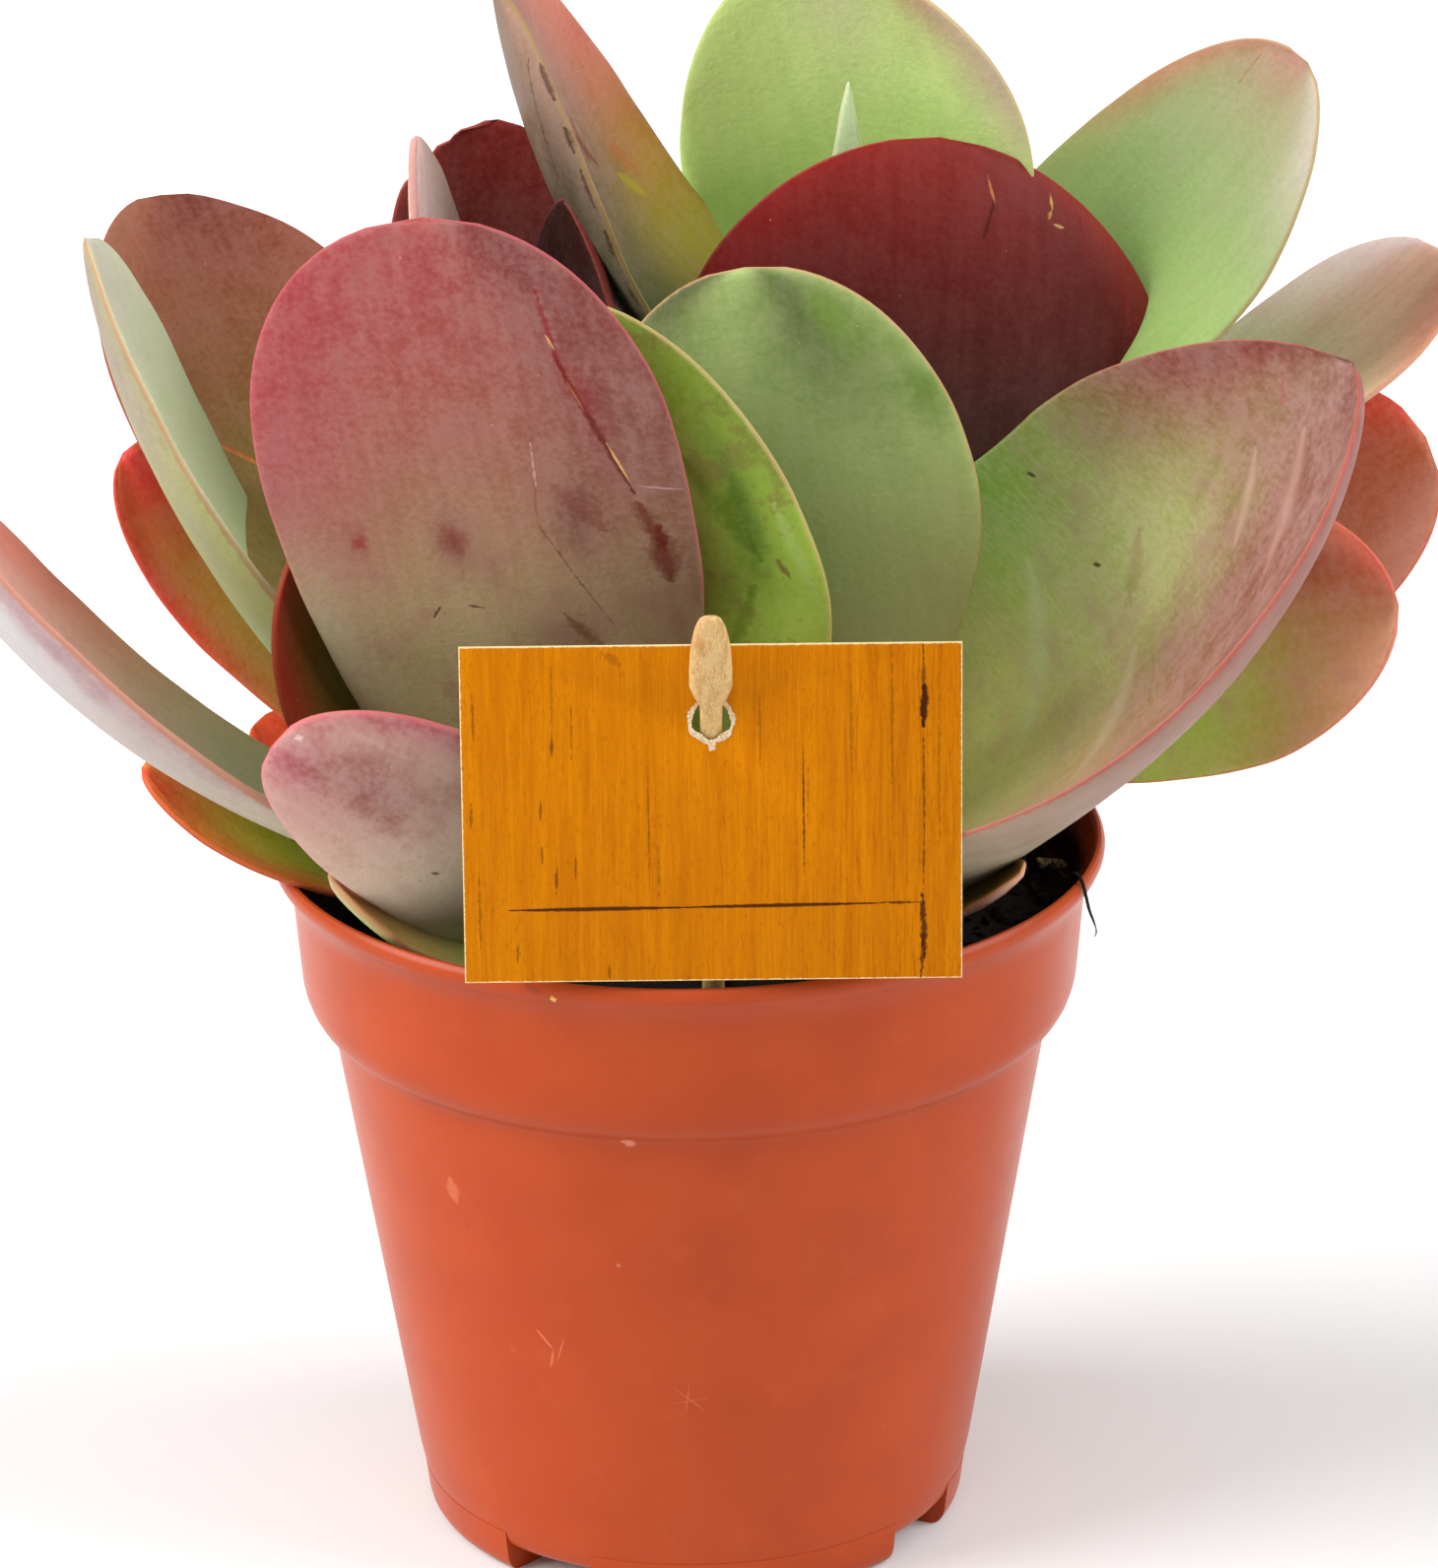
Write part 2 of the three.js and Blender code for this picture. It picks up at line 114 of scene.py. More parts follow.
class Bench:
    """Adds nodes to one node tree and joins them."""

    def __init__(self, tree: bpy.types.NodeTree) -> None:
        """Takes the tree that the nodes go into."""
        self.tree = tree

    def add(self, kind: str, **settings: Any) -> bpy.types.Node:
        """Adds one node.

        Args:
            kind: The node's type name.
            **settings: Properties to set on it.

        Returns:
            The node.
        """
        node = self.tree.nodes.new(kind)
        for name, value in settings.items():
            setattr(node, name, value)
        return node

    def feed(self, socket: Socket, value: Any) -> None:
        """Joins a socket to another, or sets its value; six hex digits are a colour."""
        if isinstance(value, Socket):
            self.tree.links.new(value, socket)
        else:
            socket.default_value = paint(value) if isinstance(value, str) else value

    def calc(self, operation: str, *values: Any, clamp: bool = False) -> Socket:
        """Adds a Math node.

        Args:
            operation: The sum to do, such as "MULTIPLY".
            *values: Numbers or sockets, in order.
            clamp: Keeps the result within 0 and 1.

        Returns:
            The result's socket.
        """
        node = self.add("ShaderNodeMath", operation=operation, use_clamp=clamp)
        for socket, value in zip(node.inputs, values):
            self.feed(socket, value)
        return node.outputs[0]

    def times(self, one: Any, other: Any, clamp: bool = False) -> Socket:
        """One number times another."""
        return self.calc("MULTIPLY", one, other, clamp=clamp)

    def scaled(self, value: Any, factor: Any, start: Any) -> Socket:
        """A number times a factor, added to a start."""
        return self.calc("MULTIPLY_ADD", value, factor, start)

    def rest(self, share: Any) -> Socket:
        """What a share leaves of 1."""
        return self.calc("SUBTRACT", 1.0, share)

    def sway(self, cloud: Any, reach: Any, about: Any, middle: float = 0.5) -> Socket:
        """A number that a cloud moves up and down.

        Args:
            cloud: The cloud, 0 to 1.
            reach: How far the number moves in all.
            about: The number at the cloud's middle.
            middle: The cloud's middle.

        Returns:
            The number's socket.
        """
        return self.scaled(self.calc("SUBTRACT", cloud, middle), reach, about)

    def blend(self, *parts: tuple[Socket, float]) -> Socket:
        """Adds clouds up, each times its weight."""
        (cloud, weight), *others = parts
        total = self.times(cloud, weight)
        for cloud, weight in others:
            total = self.scaled(cloud, weight, total)
        return total

    def vector(self, operation: str, *values: Any, scale: Any = None) -> Socket:
        """Adds a Vector Math node.

        Args:
            operation: The sum to do, such as "SUBTRACT".
            *values: Vectors or sockets, in order.
            scale: The factor, for the operations that take one.

        Returns:
            The result's socket, a number for LENGTH and DOT_PRODUCT and else a vector.
        """
        node = self.add("ShaderNodeVectorMath", operation=operation)
        for socket, value in zip(node.inputs, values):
            self.feed(socket, value)
        if scale is not None:
            self.feed(node.inputs["Scale"], scale)
        return node.outputs["Value" if operation in ("LENGTH", "DOT_PRODUCT") else "Vector"]

    def split(self, vector: Socket) -> tuple[Socket, Socket, Socket]:
        """The three numbers of a vector."""
        node = self.add("ShaderNodeSeparateXYZ")
        self.feed(node.inputs[0], vector)
        return node.outputs[0], node.outputs[1], node.outputs[2]

    def join(self, x: Any, y: Any, z: Any) -> Socket:
        """One vector of three numbers."""
        node = self.add("ShaderNodeCombineXYZ")
        for socket, value in zip(node.inputs, (x, y, z)):
            self.feed(socket, value)
        return node.outputs[0]

    def ease(self, value: Any, low: float, high: float, start: float = 0.0, end: float = 1.0) -> Socket:
        """A smooth step.

        Args:
            value: The number that changes.
            low: Where the step begins.
            high: Where it ends.
            start: The result at low.
            end: The result at high.

        Returns:
            The result's socket.
        """
        node = self.add("ShaderNodeMapRange", interpolation_type="SMOOTHSTEP")
        for name, number in zip(
            ("Value", "From Min", "From Max", "To Min", "To Max"), (value, low, high, start, end)
        ):
            self.feed(node.inputs[name], number)
        return node.outputs[0]

    def lay(self, mask: Any, below: Any, above: Any) -> Socket:
        """Lays one colour over another.

        Args:
            mask: How much of the upper colour shows, 0 to 1.
            below: The lower colour.
            above: The upper colour.

        Returns:
            The colour's socket.
        """
        node = self.add("ShaderNodeMix", data_type="RGBA")
        mask_at, below_at, above_at = 0, 6, 7
        for at, value in ((mask_at, mask), (below_at, below), (above_at, above)):
            self.feed(node.inputs[at], value)
        return node.outputs[2]

    def noise(
        self, where: Socket, scale: float, detail: float = 3.0, rough: float = 0.55, warp: float = 0.0
    ) -> Socket:
        """Cloudy noise from 0 to 1.

        Args:
            where: The place it is read at.
            scale: Clouds for each unit of length.
            detail: Octaves.
            rough: How strong the small octaves are.
            warp: How far the clouds are dragged.

        Returns:
            The noise's socket.
        """
        node = self.add("ShaderNodeTexNoise")
        names = ("Vector", "Scale", "Detail", "Roughness", "Distortion")
        for name, value in zip(names, (where, scale, detail, rough, warp)):
            self.feed(node.inputs[name], value)
        return node.outputs[0]

    def cells(self, where: Socket, scale: Any) -> bpy.types.Node:
        """Voronoi cells, whose outputs are the distance to the middle and a random colour."""
        node = self.add("ShaderNodeTexVoronoi")
        self.feed(node.inputs["Vector"], where)
        self.feed(node.inputs["Scale"], scale)
        return node

    def attribute(self, name: str) -> Socket:
        """The vector that a mesh attribute holds."""
        return self.add("ShaderNodeAttribute", attribute_name=name).outputs["Vector"]

    def object_mm(self) -> Socket:
        """The place in the frame, in millimetres."""
        place = self.add("ShaderNodeTexCoord").outputs["Object"]
        return self.vector("SCALE", place, scale=1 / MM)

    def use(self, recipe: Recipe, **values: Any) -> dict[str, Socket]:
        """Places a node group.

        Args:
            recipe: The group to place.
            **values: Its inputs by name, with _ for a space.

        Returns:
            Its outputs by name.
        """
        node = self.add("ShaderNodeGroup", node_tree=recipe.tree)
        for name, value in values.items():
            self.feed(node.inputs[name.replace("_", " ")], value)
        return {socket.name: socket for socket in node.outputs}


class Recipe:
    """A shader node group with named sockets, built once and placed in many materials."""

    KINDS = {float: "NodeSocketFloat", tuple: "NodeSocketVector", str: "NodeSocketColor"}

    def __init__(self, name: str, inputs: dict[str, Any], outputs: dict[str, type]) -> None:
        """Makes the group's sockets.

        Args:
            name: The group's name.
            inputs: Each input's first value: a number, a vector or a colour as hex digits.
            outputs: Each output's kind: float, tuple or str.
        """
        self.tree = bpy.data.node_groups.new(name, "ShaderNodeTree")
        for label, value in inputs.items():
            socket = self.tree.interface.new_socket(
                name=label, in_out="INPUT", socket_type=self.KINDS[type(value)]
            )
            socket.default_value = paint(value) if isinstance(value, str) else value
        for label, kind in outputs.items():
            self.tree.interface.new_socket(
                name=label, in_out="OUTPUT", socket_type=self.KINDS[kind]
            )
        self.bench = Bench(self.tree)
        self.given = self.bench.add("NodeGroupInput").outputs
        self.result = self.bench.add("NodeGroupOutput").inputs

    def give(self, **values: Socket) -> None:
        """Joins the group's outputs by name, with _ for a space."""
        for name, value in values.items():
            self.bench.feed(self.result[name.replace("_", " ")], value)


@dataclass(frozen=True)
class Mark:
    """A scratch, a streak or a corky line between two places on a surface."""

    start: Pair
    end: Pair
    width: float = 0.5
    colour: str = "4a2418"
    waver: float = 1.0
    sunk: float = 0.4
    strength: float = 0.85


@dataclass(frozen=True)
class Bloom:
    """How a leaf's waxy bloom weathers, the same on every leaf."""

    rubbed_from: float = 0.54
    rubbed_to: float = 0.6
    rubbed_tint: Triple = (0.8, 0.55, 0.5)
    powder: str = "c8b4aa"
    powder_from: float = 0.65
    powder_to: float = 1.3
    powder_least: float = 0.4
    powder_most: float = 1.6
    pale_speck: str = "d9c6ae"
    pale_speck_strength: float = 0.45
    dark_speck: str = "4a3020"
    dark_speck_strength: float = 0.5
    rim_soft: float = 0.8
    rim_strength: float = 0.6
    roughness: float = 0.44
    powder_roughness: float = 0.25
    rubbed_roughness: float = -0.12
    fine_roughness: float = 0.16
    relief: float = 0.4


class Recipes:
    """The effects that several finishes share."""

    PATCH_EDGE = 0.25
    TAPER_SPAN = 0.84 * math.pi
    TAPER_START = 0.25
    SMALLEST_FLECK = 0.3

    def __init__(self) -> None:
        """Builds every group."""
        self.patch = self._patch()
        self.scratch = self._scratch()
        self.mottle = self._mottle()
        self.flecks = self._flecks()
        self.fibre = self._fibre()
        self.leaf_skin = self._leaf_skin(Bloom())

    def _patch(self) -> Recipe:
        """A soft airbrushed patch with a ragged border, which keeps PATCH_EDGE of its strength at its reach."""
        r = Recipe(
            "soft patch",
            {"Place": ZERO, "Centre": ZERO, "Reach": (1.0, 1.0, 1.0), "Ragged": 0.3, "Cloud": 0.5, "Strength": 1.0},
            {"Mask": float},
        )
        b, g = r.bench, r.given
        away = b.vector("DIVIDE", b.vector("SUBTRACT", g["Place"], g["Centre"]), g["Reach"])
        flat = b.vector("MULTIPLY", away, LEVEL)
        torn = b.sway(g["Cloud"], g["Ragged"], b.vector("LENGTH", flat))
        squared = b.calc("POWER", b.calc("MAXIMUM", torn, 0.0), 2.0)
        fade = b.calc("POWER", self.PATCH_EDGE, squared)
        r.give(Mask=b.times(fade, g["Strength"], clamp=True))
        return r

    def _scratch(self) -> Recipe:
        """A thin wavering line between two points, tapered to its ends."""
        r = Recipe(
            "scratch",
            {"Place": ZERO, "Start": ZERO, "End": (1.0, 0.0, 0.0), "Width": 0.5, "Waver": 0.5, "Cloud": 0.5},
            {"Mask": float},
        )
        b, g = r.bench, r.given
        flat = b.vector("MULTIPLY", g["Place"], LEVEL)
        there = b.vector("SUBTRACT", flat, g["Start"])
        whole = b.vector("SUBTRACT", g["End"], g["Start"])
        share = b.calc(
            "DIVIDE",
            b.vector("DOT_PRODUCT", there, whole),
            b.vector("DOT_PRODUCT", whole, whole),
            clamp=True,
        )
        off = b.vector("SUBTRACT", there, b.vector("SCALE", whole, scale=share))
        far = b.sway(g["Cloud"], g["Waver"], b.vector("LENGTH", off))
        taper = b.calc("SINE", b.scaled(share, self.TAPER_SPAN, self.TAPER_START))
        r.give(Mask=b.rest(b.calc("DIVIDE", far, b.times(g["Width"], taper), clamp=True)))
        return r

    @staticmethod
    def _mottle() -> Recipe:
        """Clouds of several sizes over a leaf or a moulded wall, moved by a seed."""
        r = Recipe(
            "mottle", {"Place": ZERO, "Seed": 0.0}, {"Broad": float, "Patch": float, "Fine": float, "Streak": float}
        )
        b, g = r.bench, r.given
        shift = b.vector("SCALE", (37.0, 17.0, 5.0), scale=g["Seed"])
        where = b.vector("ADD", g["Place"], shift)
        drawn_out = b.vector("MULTIPLY", where, (1.0, 0.09, 1.0))
        r.give(
            Broad=b.noise(where, 0.055, 2.0, 0.5),
            Patch=b.noise(where, 0.15, 3.0, 0.55),
            Fine=b.noise(where, 0.9, 2.0, 0.6),
            Streak=b.noise(drawn_out, 0.45, 2.0, 0.6),
        )
        return r

    def _flecks(self) -> Recipe:
        """Scattered small dots of two sorts."""
        r = Recipe(
            "flecks", {"Place": ZERO, "Scale": 0.4, "Share": 0.3, "Size": 0.12}, {"Mask": float, "Other": float}
        )
        b, g = r.bench, r.given
        cells = b.cells(g["Place"], g["Scale"])
        pick, _, size = b.split(cells.outputs["Color"])
        wide = b.times(b.scaled(size, 1 - self.SMALLEST_FLECK, self.SMALLEST_FLECK), g["Size"])
        dot = b.rest(b.calc("DIVIDE", cells.outputs["Distance"], wide, clamp=True))
        first = b.calc("LESS_THAN", pick, g["Share"])
        last = b.calc("GREATER_THAN", pick, b.rest(g["Share"]))
        r.give(Mask=b.times(first, dot), Other=b.times(last, dot))
        return r

    @staticmethod
    def _fibre() -> Recipe:
        """Long fibres that run along Y, as in wood or bamboo."""
        r = Recipe(
            "wood fibre",
            {"Place": ZERO, "Fineness": 1.0, "Length": 20.0},
            {"Grain": float, "Bands": float, "Pores": float},
        )
        b, g = r.bench, r.given
        x, y, z = b.split(g["Place"])
        run = b.calc("DIVIDE", y, g["Length"])
        grain = b.join(b.times(x, g["Fineness"]), run, b.times(z, g["Fineness"]))
        short = b.vector("MULTIPLY", grain, (1.0, 5.0, 1.0))
        r.give(
            Grain=b.noise(grain, 2.2, 5.0, 0.7, 0.3),
            Bands=b.noise(grain, 0.35, 3.0, 0.55, 0.5),
            Pores=b.ease(b.noise(short, 3.5, 2.0, 0.6), 0.56, 0.7),
        )
        return r

    def _leaf_skin(self, bloom: Bloom) -> Recipe:
        """Turns a leaf's plain colours into skin: mottling, rubbed bloom, powder, specks and the rim line.

        Args:
            bloom: How the bloom weathers.

        Returns:
            The group.
        """
        r = Recipe(
            "leaf skin",
            {"Colour": "808080", "Place": ZERO, "Inset": 10.0, "Seed": 0.0, "Broad": 0.5, "Patch": 0.5, "Fine": 0.5,
             "Streak": 0.5, "Powder": 0.2, "Rubbed": 0.3, "Mottle": 0.3, "Streaks": 0.2, "Rim": "b06a50",
             "Rim Width": 0.7},
            {"Colour": str, "Roughness": float, "Height": float},
        )
        b, g = r.bench, r.given
        fine, patch, broad, streak = (g[k] for k in ("Fine", "Patch", "Broad", "Streak"))
        swing = b.sway(b.blend((fine, 0.75), (patch, 0.45)), g["Mottle"], 1.0, 0.6)
        swing = b.sway(streak, g["Streaks"], swing)
        colour = b.vector("SCALE", g["Colour"], scale=swing)
        worn = b.ease(b.blend((fine, 0.25), (patch, 0.55), (broad, 0.2)), bloom.rubbed_from, bloom.rubbed_to)
        rubbed = b.times(worn, g["Rubbed"])
        colour = b.lay(rubbed, colour, b.vector("MULTIPLY", colour, bloom.rubbed_tint))
        dusty = b.ease(
            b.blend((patch, 0.8), (streak, 0.45), (fine, 0.7)),
            bloom.powder_from, bloom.powder_to, bloom.powder_least, bloom.powder_most,
        )
        powder = b.times(dusty, g["Powder"], clamp=True)
        colour = b.lay(powder, colour, bloom.powder)
        shift = b.vector("SCALE", (11.0, 5.0, 3.0), scale=g["Seed"])
        shifted = b.vector("ADD", g["Place"], shift)
        dots = b.use(self.flecks, Place=shifted, Scale=0.32, Share=0.24, Size=0.1)
        colour = b.lay(b.times(dots["Mask"], bloom.pale_speck_strength), colour, bloom.pale_speck)
        colour = b.lay(b.times(dots["Other"], bloom.dark_speck_strength), colour, bloom.dark_speck)
        border = b.sway(fine, 0.5, g["Inset"])
        line = b.rest(b.calc("DIVIDE", border, g["Rim Width"], clamp=True))
        colour = b.lay(b.times(b.ease(line, 0.0, bloom.rim_soft), bloom.rim_strength), colour, g["Rim"])
        rough = b.scaled(powder, bloom.powder_roughness, bloom.roughness)
        rough = b.scaled(rubbed, bloom.rubbed_roughness, rough)
        rough = b.sway(fine, bloom.fine_roughness, rough)
        r.give(Colour=colour, Roughness=rough, Height=b.times(fine, bloom.relief))
        return r

    def draw(
        self, bench: Bench, marks: Sequence[Mark], spot: Callable[[Pair], Triple], place: Socket, cloud: Socket,
        surface: tuple[Socket, Socket], soft: float, shown: Socket | None = None,
    ) -> tuple[Socket, Socket]:
        """Draws marks over a surface.

        Args:
            bench: The bench of the surface's material.
            marks: The marks.
            spot: Turns a mark's end into a place on the surface.
            place: Where a point of the surface lies.
            cloud: What makes the marks waver.
            surface: The colour and the relief so far.
            soft: The share of a mark's width over which it fades in.
            shown: Where the marks show; everywhere, if it is left out.

        Returns:
            The colour and the relief with the marks.
        """
        colour, relief = surface
        for mark in marks:
            mask = bench.use(
                self.scratch, Place=place, Start=spot(mark.start), End=spot(mark.end), Width=mark.width,
                Waver=mark.waver, Cloud=cloud,
            )["Mask"]
            mask = bench.ease(mask, 0.0, soft, 0.0, mark.strength)
            if shown is not None:
                mask = bench.times(mask, shown)
            colour = bench.lay(mask, colour, mark.colour)
            if mark.sunk:
                relief = bench.scaled(mask, -mark.sunk, relief)
        return colour, relief


@dataclass
class Shader:
    """A material in the making: its Principled shader and the bench that feeds it."""

    name: str
    gloss: float = 0.5
    coat: float = 0.0
    coat_roughness: float = 0.3

    def __post_init__(self) -> None:
        """Makes the material and sets what is the same all over."""
        self.material = bpy.data.materials.new(self.name)
        self.material.use_nodes = True
        self.bench = Bench(self.material.node_tree)
        self.skin = next(n for n in self.material.node_tree.nodes if n.type == "BSDF_PRINCIPLED")
        self.skin.inputs["Specular IOR Level"].default_value = self.gloss
        self.skin.inputs["Coat Weight"].default_value = self.coat
        self.skin.inputs["Coat Roughness"].default_value = self.coat_roughness

    def finish(self, colour: Socket, roughness: Any, height: Socket, depth: float) -> Material:
        """Joins the surface to the shader.

        Args:
            colour: The surface's colour.
            roughness: Its roughness, a number or a socket.
            height: Its small relief, about 0 to 1.
            depth: How many millimetres a relief of 1 stands up.

        Returns:
            The material.
        """
        b = self.bench
        b.feed(self.skin.inputs["Base Color"], colour)
        b.feed(self.skin.inputs["Roughness"], roughness)
        bump = b.add("ShaderNodeBump")
        bump.inputs["Strength"].default_value = 1.0
        bump.inputs["Distance"].default_value = depth * MM
        b.feed(bump.inputs["Height"], height)
        b.feed(self.skin.inputs["Normal"], bump.outputs[0])
        return self.material


# ---------------- hand work


class Hands:
    """Modelling steps that several pieces share, done with Blender's own tools."""

    @staticmethod
    def clear() -> None:
        """Deselects everything."""
        if bpy.context.object and bpy.context.object.mode != "OBJECT":
            bpy.ops.object.mode_set(mode="OBJECT")
        bpy.ops.object.select_all(action="DESELECT")

    @staticmethod
    def name(piece: str) -> Thing:
        """Names the object that was just added."""
        made = bpy.context.object
        made.name = piece
        made.data.name = piece
        return made

    @staticmethod
    def stand(piece: str, shape: Shape) -> Thing:
        """Makes an object of a finished shape and frees the shape."""
        mesh = bpy.data.meshes.new(piece)
        shape.to_mesh(mesh)
        shape.free()
        made = bpy.data.objects.new(piece, mesh)
        bpy.context.collection.objects.link(made)
        return made

    @staticmethod
    def only(made: Thing) -> None:
        """Selects one object and makes it the active one."""
        Hands.clear()
        made.select_set(True)
        bpy.context.view_layer.objects.active = made

    @staticmethod
    @contextmanager
    def editing(made: Thing, mode: str = "VERT", pick: str = "SELECT") -> Iterator[None]:
        """Holds one object in edit mode.

        Args:
            made: The object.
            mode: What is selected: VERT, EDGE or FACE.
            pick: SELECT starts with everything selected, DESELECT with nothing.
        """
        Hands.only(made)
        bpy.ops.object.mode_set(mode="EDIT")
        bpy.ops.mesh.select_mode(type=mode)
        bpy.ops.mesh.select_all(action=pick)
        yield
        bpy.ops.object.mode_set(mode="OBJECT")

    @staticmethod
    def apply(made: Thing, kind: str, **settings: Any) -> None:
        """Adds one modifier and applies it.

        Args:
            made: The object.
            kind: The modifier's type name.
            **settings: Its properties.
        """
        Hands.only(made)
        added = made.modifiers.new(kind.lower(), kind)
        for name, value in settings.items():
            setattr(added, name, value)
        bpy.ops.object.modifier_apply(modifier=added.name)

    @staticmethod
    def work(body: Thing, tool: Thing, tooling: Tooling) -> None:
        """Joins a tool to a body or cuts the body with it, and throws the tool away."""
        Hands.apply(body, "BOOLEAN", object=tool, operation=tooling.value, solver="EXACT")
        bpy.data.objects.remove(tool)

    @staticmethod
    def bore(
        body: Thing, spot: Triple, radius: float, length: float, sides: int, tilt: float = 0.0
    ) -> None:
        """Bores a round hole through a body.

        Args:
            body: The body.
            spot: The middle of the hole, in millimetres.
            radius: Its radius, in millimetres.
            length: How long the drill is, in millimetres.
            sides: How many sides the hole has.
            tilt: How far the drill leans back from upright, in degrees.
        """
        Hands.clear()
        bpy.ops.mesh.primitive_cylinder_add(
            vertices=sides, radius=radius * MM, depth=length * MM, rotation=(math.radians(tilt), 0, 0),
            location=Vector(spot) * MM,
        )
        Hands.work(body, Hands.name("drill"), Tooling.CUT)

    @staticmethod
    def settle(made: Thing, smooth_angle: float | None = None) -> Thing:
        """Puts an object's place into its mesh and shades it.

        Args:
            made: The object.
            smooth_angle: Edges sharper than this many degrees stay crisp; None smooths them all.

        Returns:
            The object.
        """
        Hands.only(made)
        bpy.ops.object.transform_apply(location=True, rotation=True, scale=True)
        if smooth_angle is None:
            bpy.ops.object.shade_smooth()
        else:
            bpy.ops.object.shade_smooth_by_angle(angle=math.radians(smooth_angle))
        return made

    @staticmethod
    def outward(made: Thing) -> None:
        """Merges doubles and turns every face outwards."""
        with Hands.editing(made):
            bpy.ops.mesh.remove_doubles(threshold=0.01 * MM)
            bpy.ops.mesh.normals_make_consistent(inside=False)

    @staticmethod
    def spun(
        name: str, outline: Sequence[Pair], steps: int, angle: float = 360.0, start: float = 0.0
    ) -> Thing:
        """Spins an outline round the Z axis.

        Args:
            name: The object's name.
            outline: Radius and height of each corner, in millimetres.
            steps: How many strips the turn is cut into.
            angle: How far it turns, in degrees.
            start: Where it starts, in degrees from the front, towards +X.

        Returns:
            The object, open at its ends.
        """
        Hands.clear()
        turn = math.radians(start)
        ahead = Vector((math.sin(turn), -math.cos(turn), 0.0))
        corners = [ahead * (r * MM) + Vector((0, 0, z * MM)) for r, z in outline]
        bpy.ops.mesh.primitive_plane_add(size=MM, location=corners[0])
        made = Hands.name(name)
        bpy.ops.object.transform_apply(location=True, rotation=False, scale=False)
        with Hands.editing(made):
            bpy.ops.mesh.merge(type="CENTER")
            for here, there in zip(corners, corners[1:]):
                bpy.ops.mesh.extrude_region_move(TRANSFORM_OT_translate={"value": there - here})
            bpy.ops.mesh.select_all(action="SELECT")
            bpy.ops.mesh.spin(steps=steps, angle=math.radians(angle), center=(0, 0, 0), axis=(0, 0, 1))
        Hands.outward(made)
        return made

    @staticmethod
    def drawn(name: str, sections: Sequence[tuple[Triple, Pair]], sides: int) -> Thing:
        """Draws a closed upright column through level ovals.

        Args:
            name: The object's name.
            sections: Each oval's centre and its two half widths, in millimetres, from below.
            sides: How many sides it has.

        Returns:
            The object.
        """
        Hands.clear()
        (first, half) = sections[0]
        bpy.ops.mesh.primitive_circle_add(
            vertices=sides, radius=MM, fill_type="NGON", location=Vector(first) * MM
        )
        made = Hands.name(name)
        bpy.ops.object.transform_apply(location=True, rotation=False, scale=False)
        with Hands.editing(made):
            bpy.ops.transform.resize(value=(half[0], half[1], 1), center_override=Vector(first) * MM)
            for (here, old), (there, new) in zip(sections, sections[1:]):
                step = (Vector(there) - Vector(here)) * MM
                bpy.ops.mesh.extrude_region_move(TRANSFORM_OT_translate={"value": step})
                bpy.ops.transform.resize(
                    value=(new[0] / old[0], new[1] / old[1], 1), center_override=Vector(there) * MM
                )
        Hands.outward(made)
        return made

    @staticmethod
    def strand(points: Sequence[Triple], radii: Sequence[float], sides: int) -> Shape:
        """A thin closed tube along points.

        Args:
            points: The points, in millimetres.
            radii: The radius at each point, in millimetres.
            sides: How many sides it has.

        Returns:
            The tube, in metres.
        """
        tube = bmesh.new()
        spots = [Vector(p) for p in points]
        rings = []
        side = Vector((0.31, 0.52, 0.79))
        for i, spot in enumerate(spots):
            ahead = (spots[min(i + 1, len(spots) - 1)] - spots[max(i - 1, 0)]).normalized()
            side = (side - ahead * side.dot(ahead)).normalized()
            other = ahead.cross(side)
            ring = []
            for k in range(sides):
                turn = 2 * math.pi * k / sides
                off = (side * math.cos(turn) + other * math.sin(turn)) * radii[i]
                ring.append(tube.verts.new((spot + off) * MM))
            rings.append(ring)
        for low, high in zip(rings, rings[1:]):
            Hands.strip(tube, low, high)
        tube.faces.new(tuple(reversed(rings[0])))
        tube.faces.new(tuple(rings[-1]))
        return tube

    @staticmethod
    def strip(shape: Shape, low: Ring, high: Ring) -> None:
        """Closes the strip of faces between two rings of corner points."""
        for k in range(len(low)):
            after = (k + 1) % len(low)
            shape.faces.new((low[k], low[after], high[after], high[k]))


def seat(made: Thing, material: Material, slot: Slot, *nodes: str) -> None:
    """Dresses a piece, rides it on the plant's one body and logs it.

    Args:
        made: The piece.
        material: Its finish.
        slot: The record's material slot, which is not used.
        *nodes: The CAD nodes that it stands for.
    """
    made.data.materials.clear()
    made.data.materials.append(material)
    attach(made, BODY)
    if nodes:
        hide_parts(*nodes)
    LOG.info("%s: %d faces", made.name, len(made.data.polygons))


def ripple(place: np.ndarray, seed: float) -> np.ndarray:
    """A smooth uneven wave from about -1 to 1."""
    waves = ((1.0, 1.0, 2.3), (0.6, 2.3, 5.1), (0.4, 4.7, 1.7))
    return sum(height * np.sin(often * place + seed * shift) for height, often, shift in waves) / 2.0


# ---------------- leaves


@dataclass(frozen=True)
class Wash:
    """A soft patch of colour on a leaf.

    Its middle is the share across, -1 to 1, and along, 0 to 1; its reach is in the same shares.
    """

    colour: str
    across: float
    along: float
    reach_across: float
    reach_along: float
    strength: float = 1.0
    ragged: float = 0.5


@dataclass(frozen=True)
class Skin:
    """One face of a leaf: its body colour, a row for each Wash and each Mark, and how worn its bloom is."""

    body: str
    washes: tuple[Row, ...] = ()
    scars: tuple[Row, ...] = ()
    powder: float = 0.1
    rubbed: float = 0.25
    mottle: float = 0.3
    streaks: float = 0.15


@dataclass(frozen=True)
class Nick:
    """A dent in a leaf's rim: its place along, its side (-1 or 1), depth and length in millimetres."""

    along: float
    side: int
    depth: float
    length: float


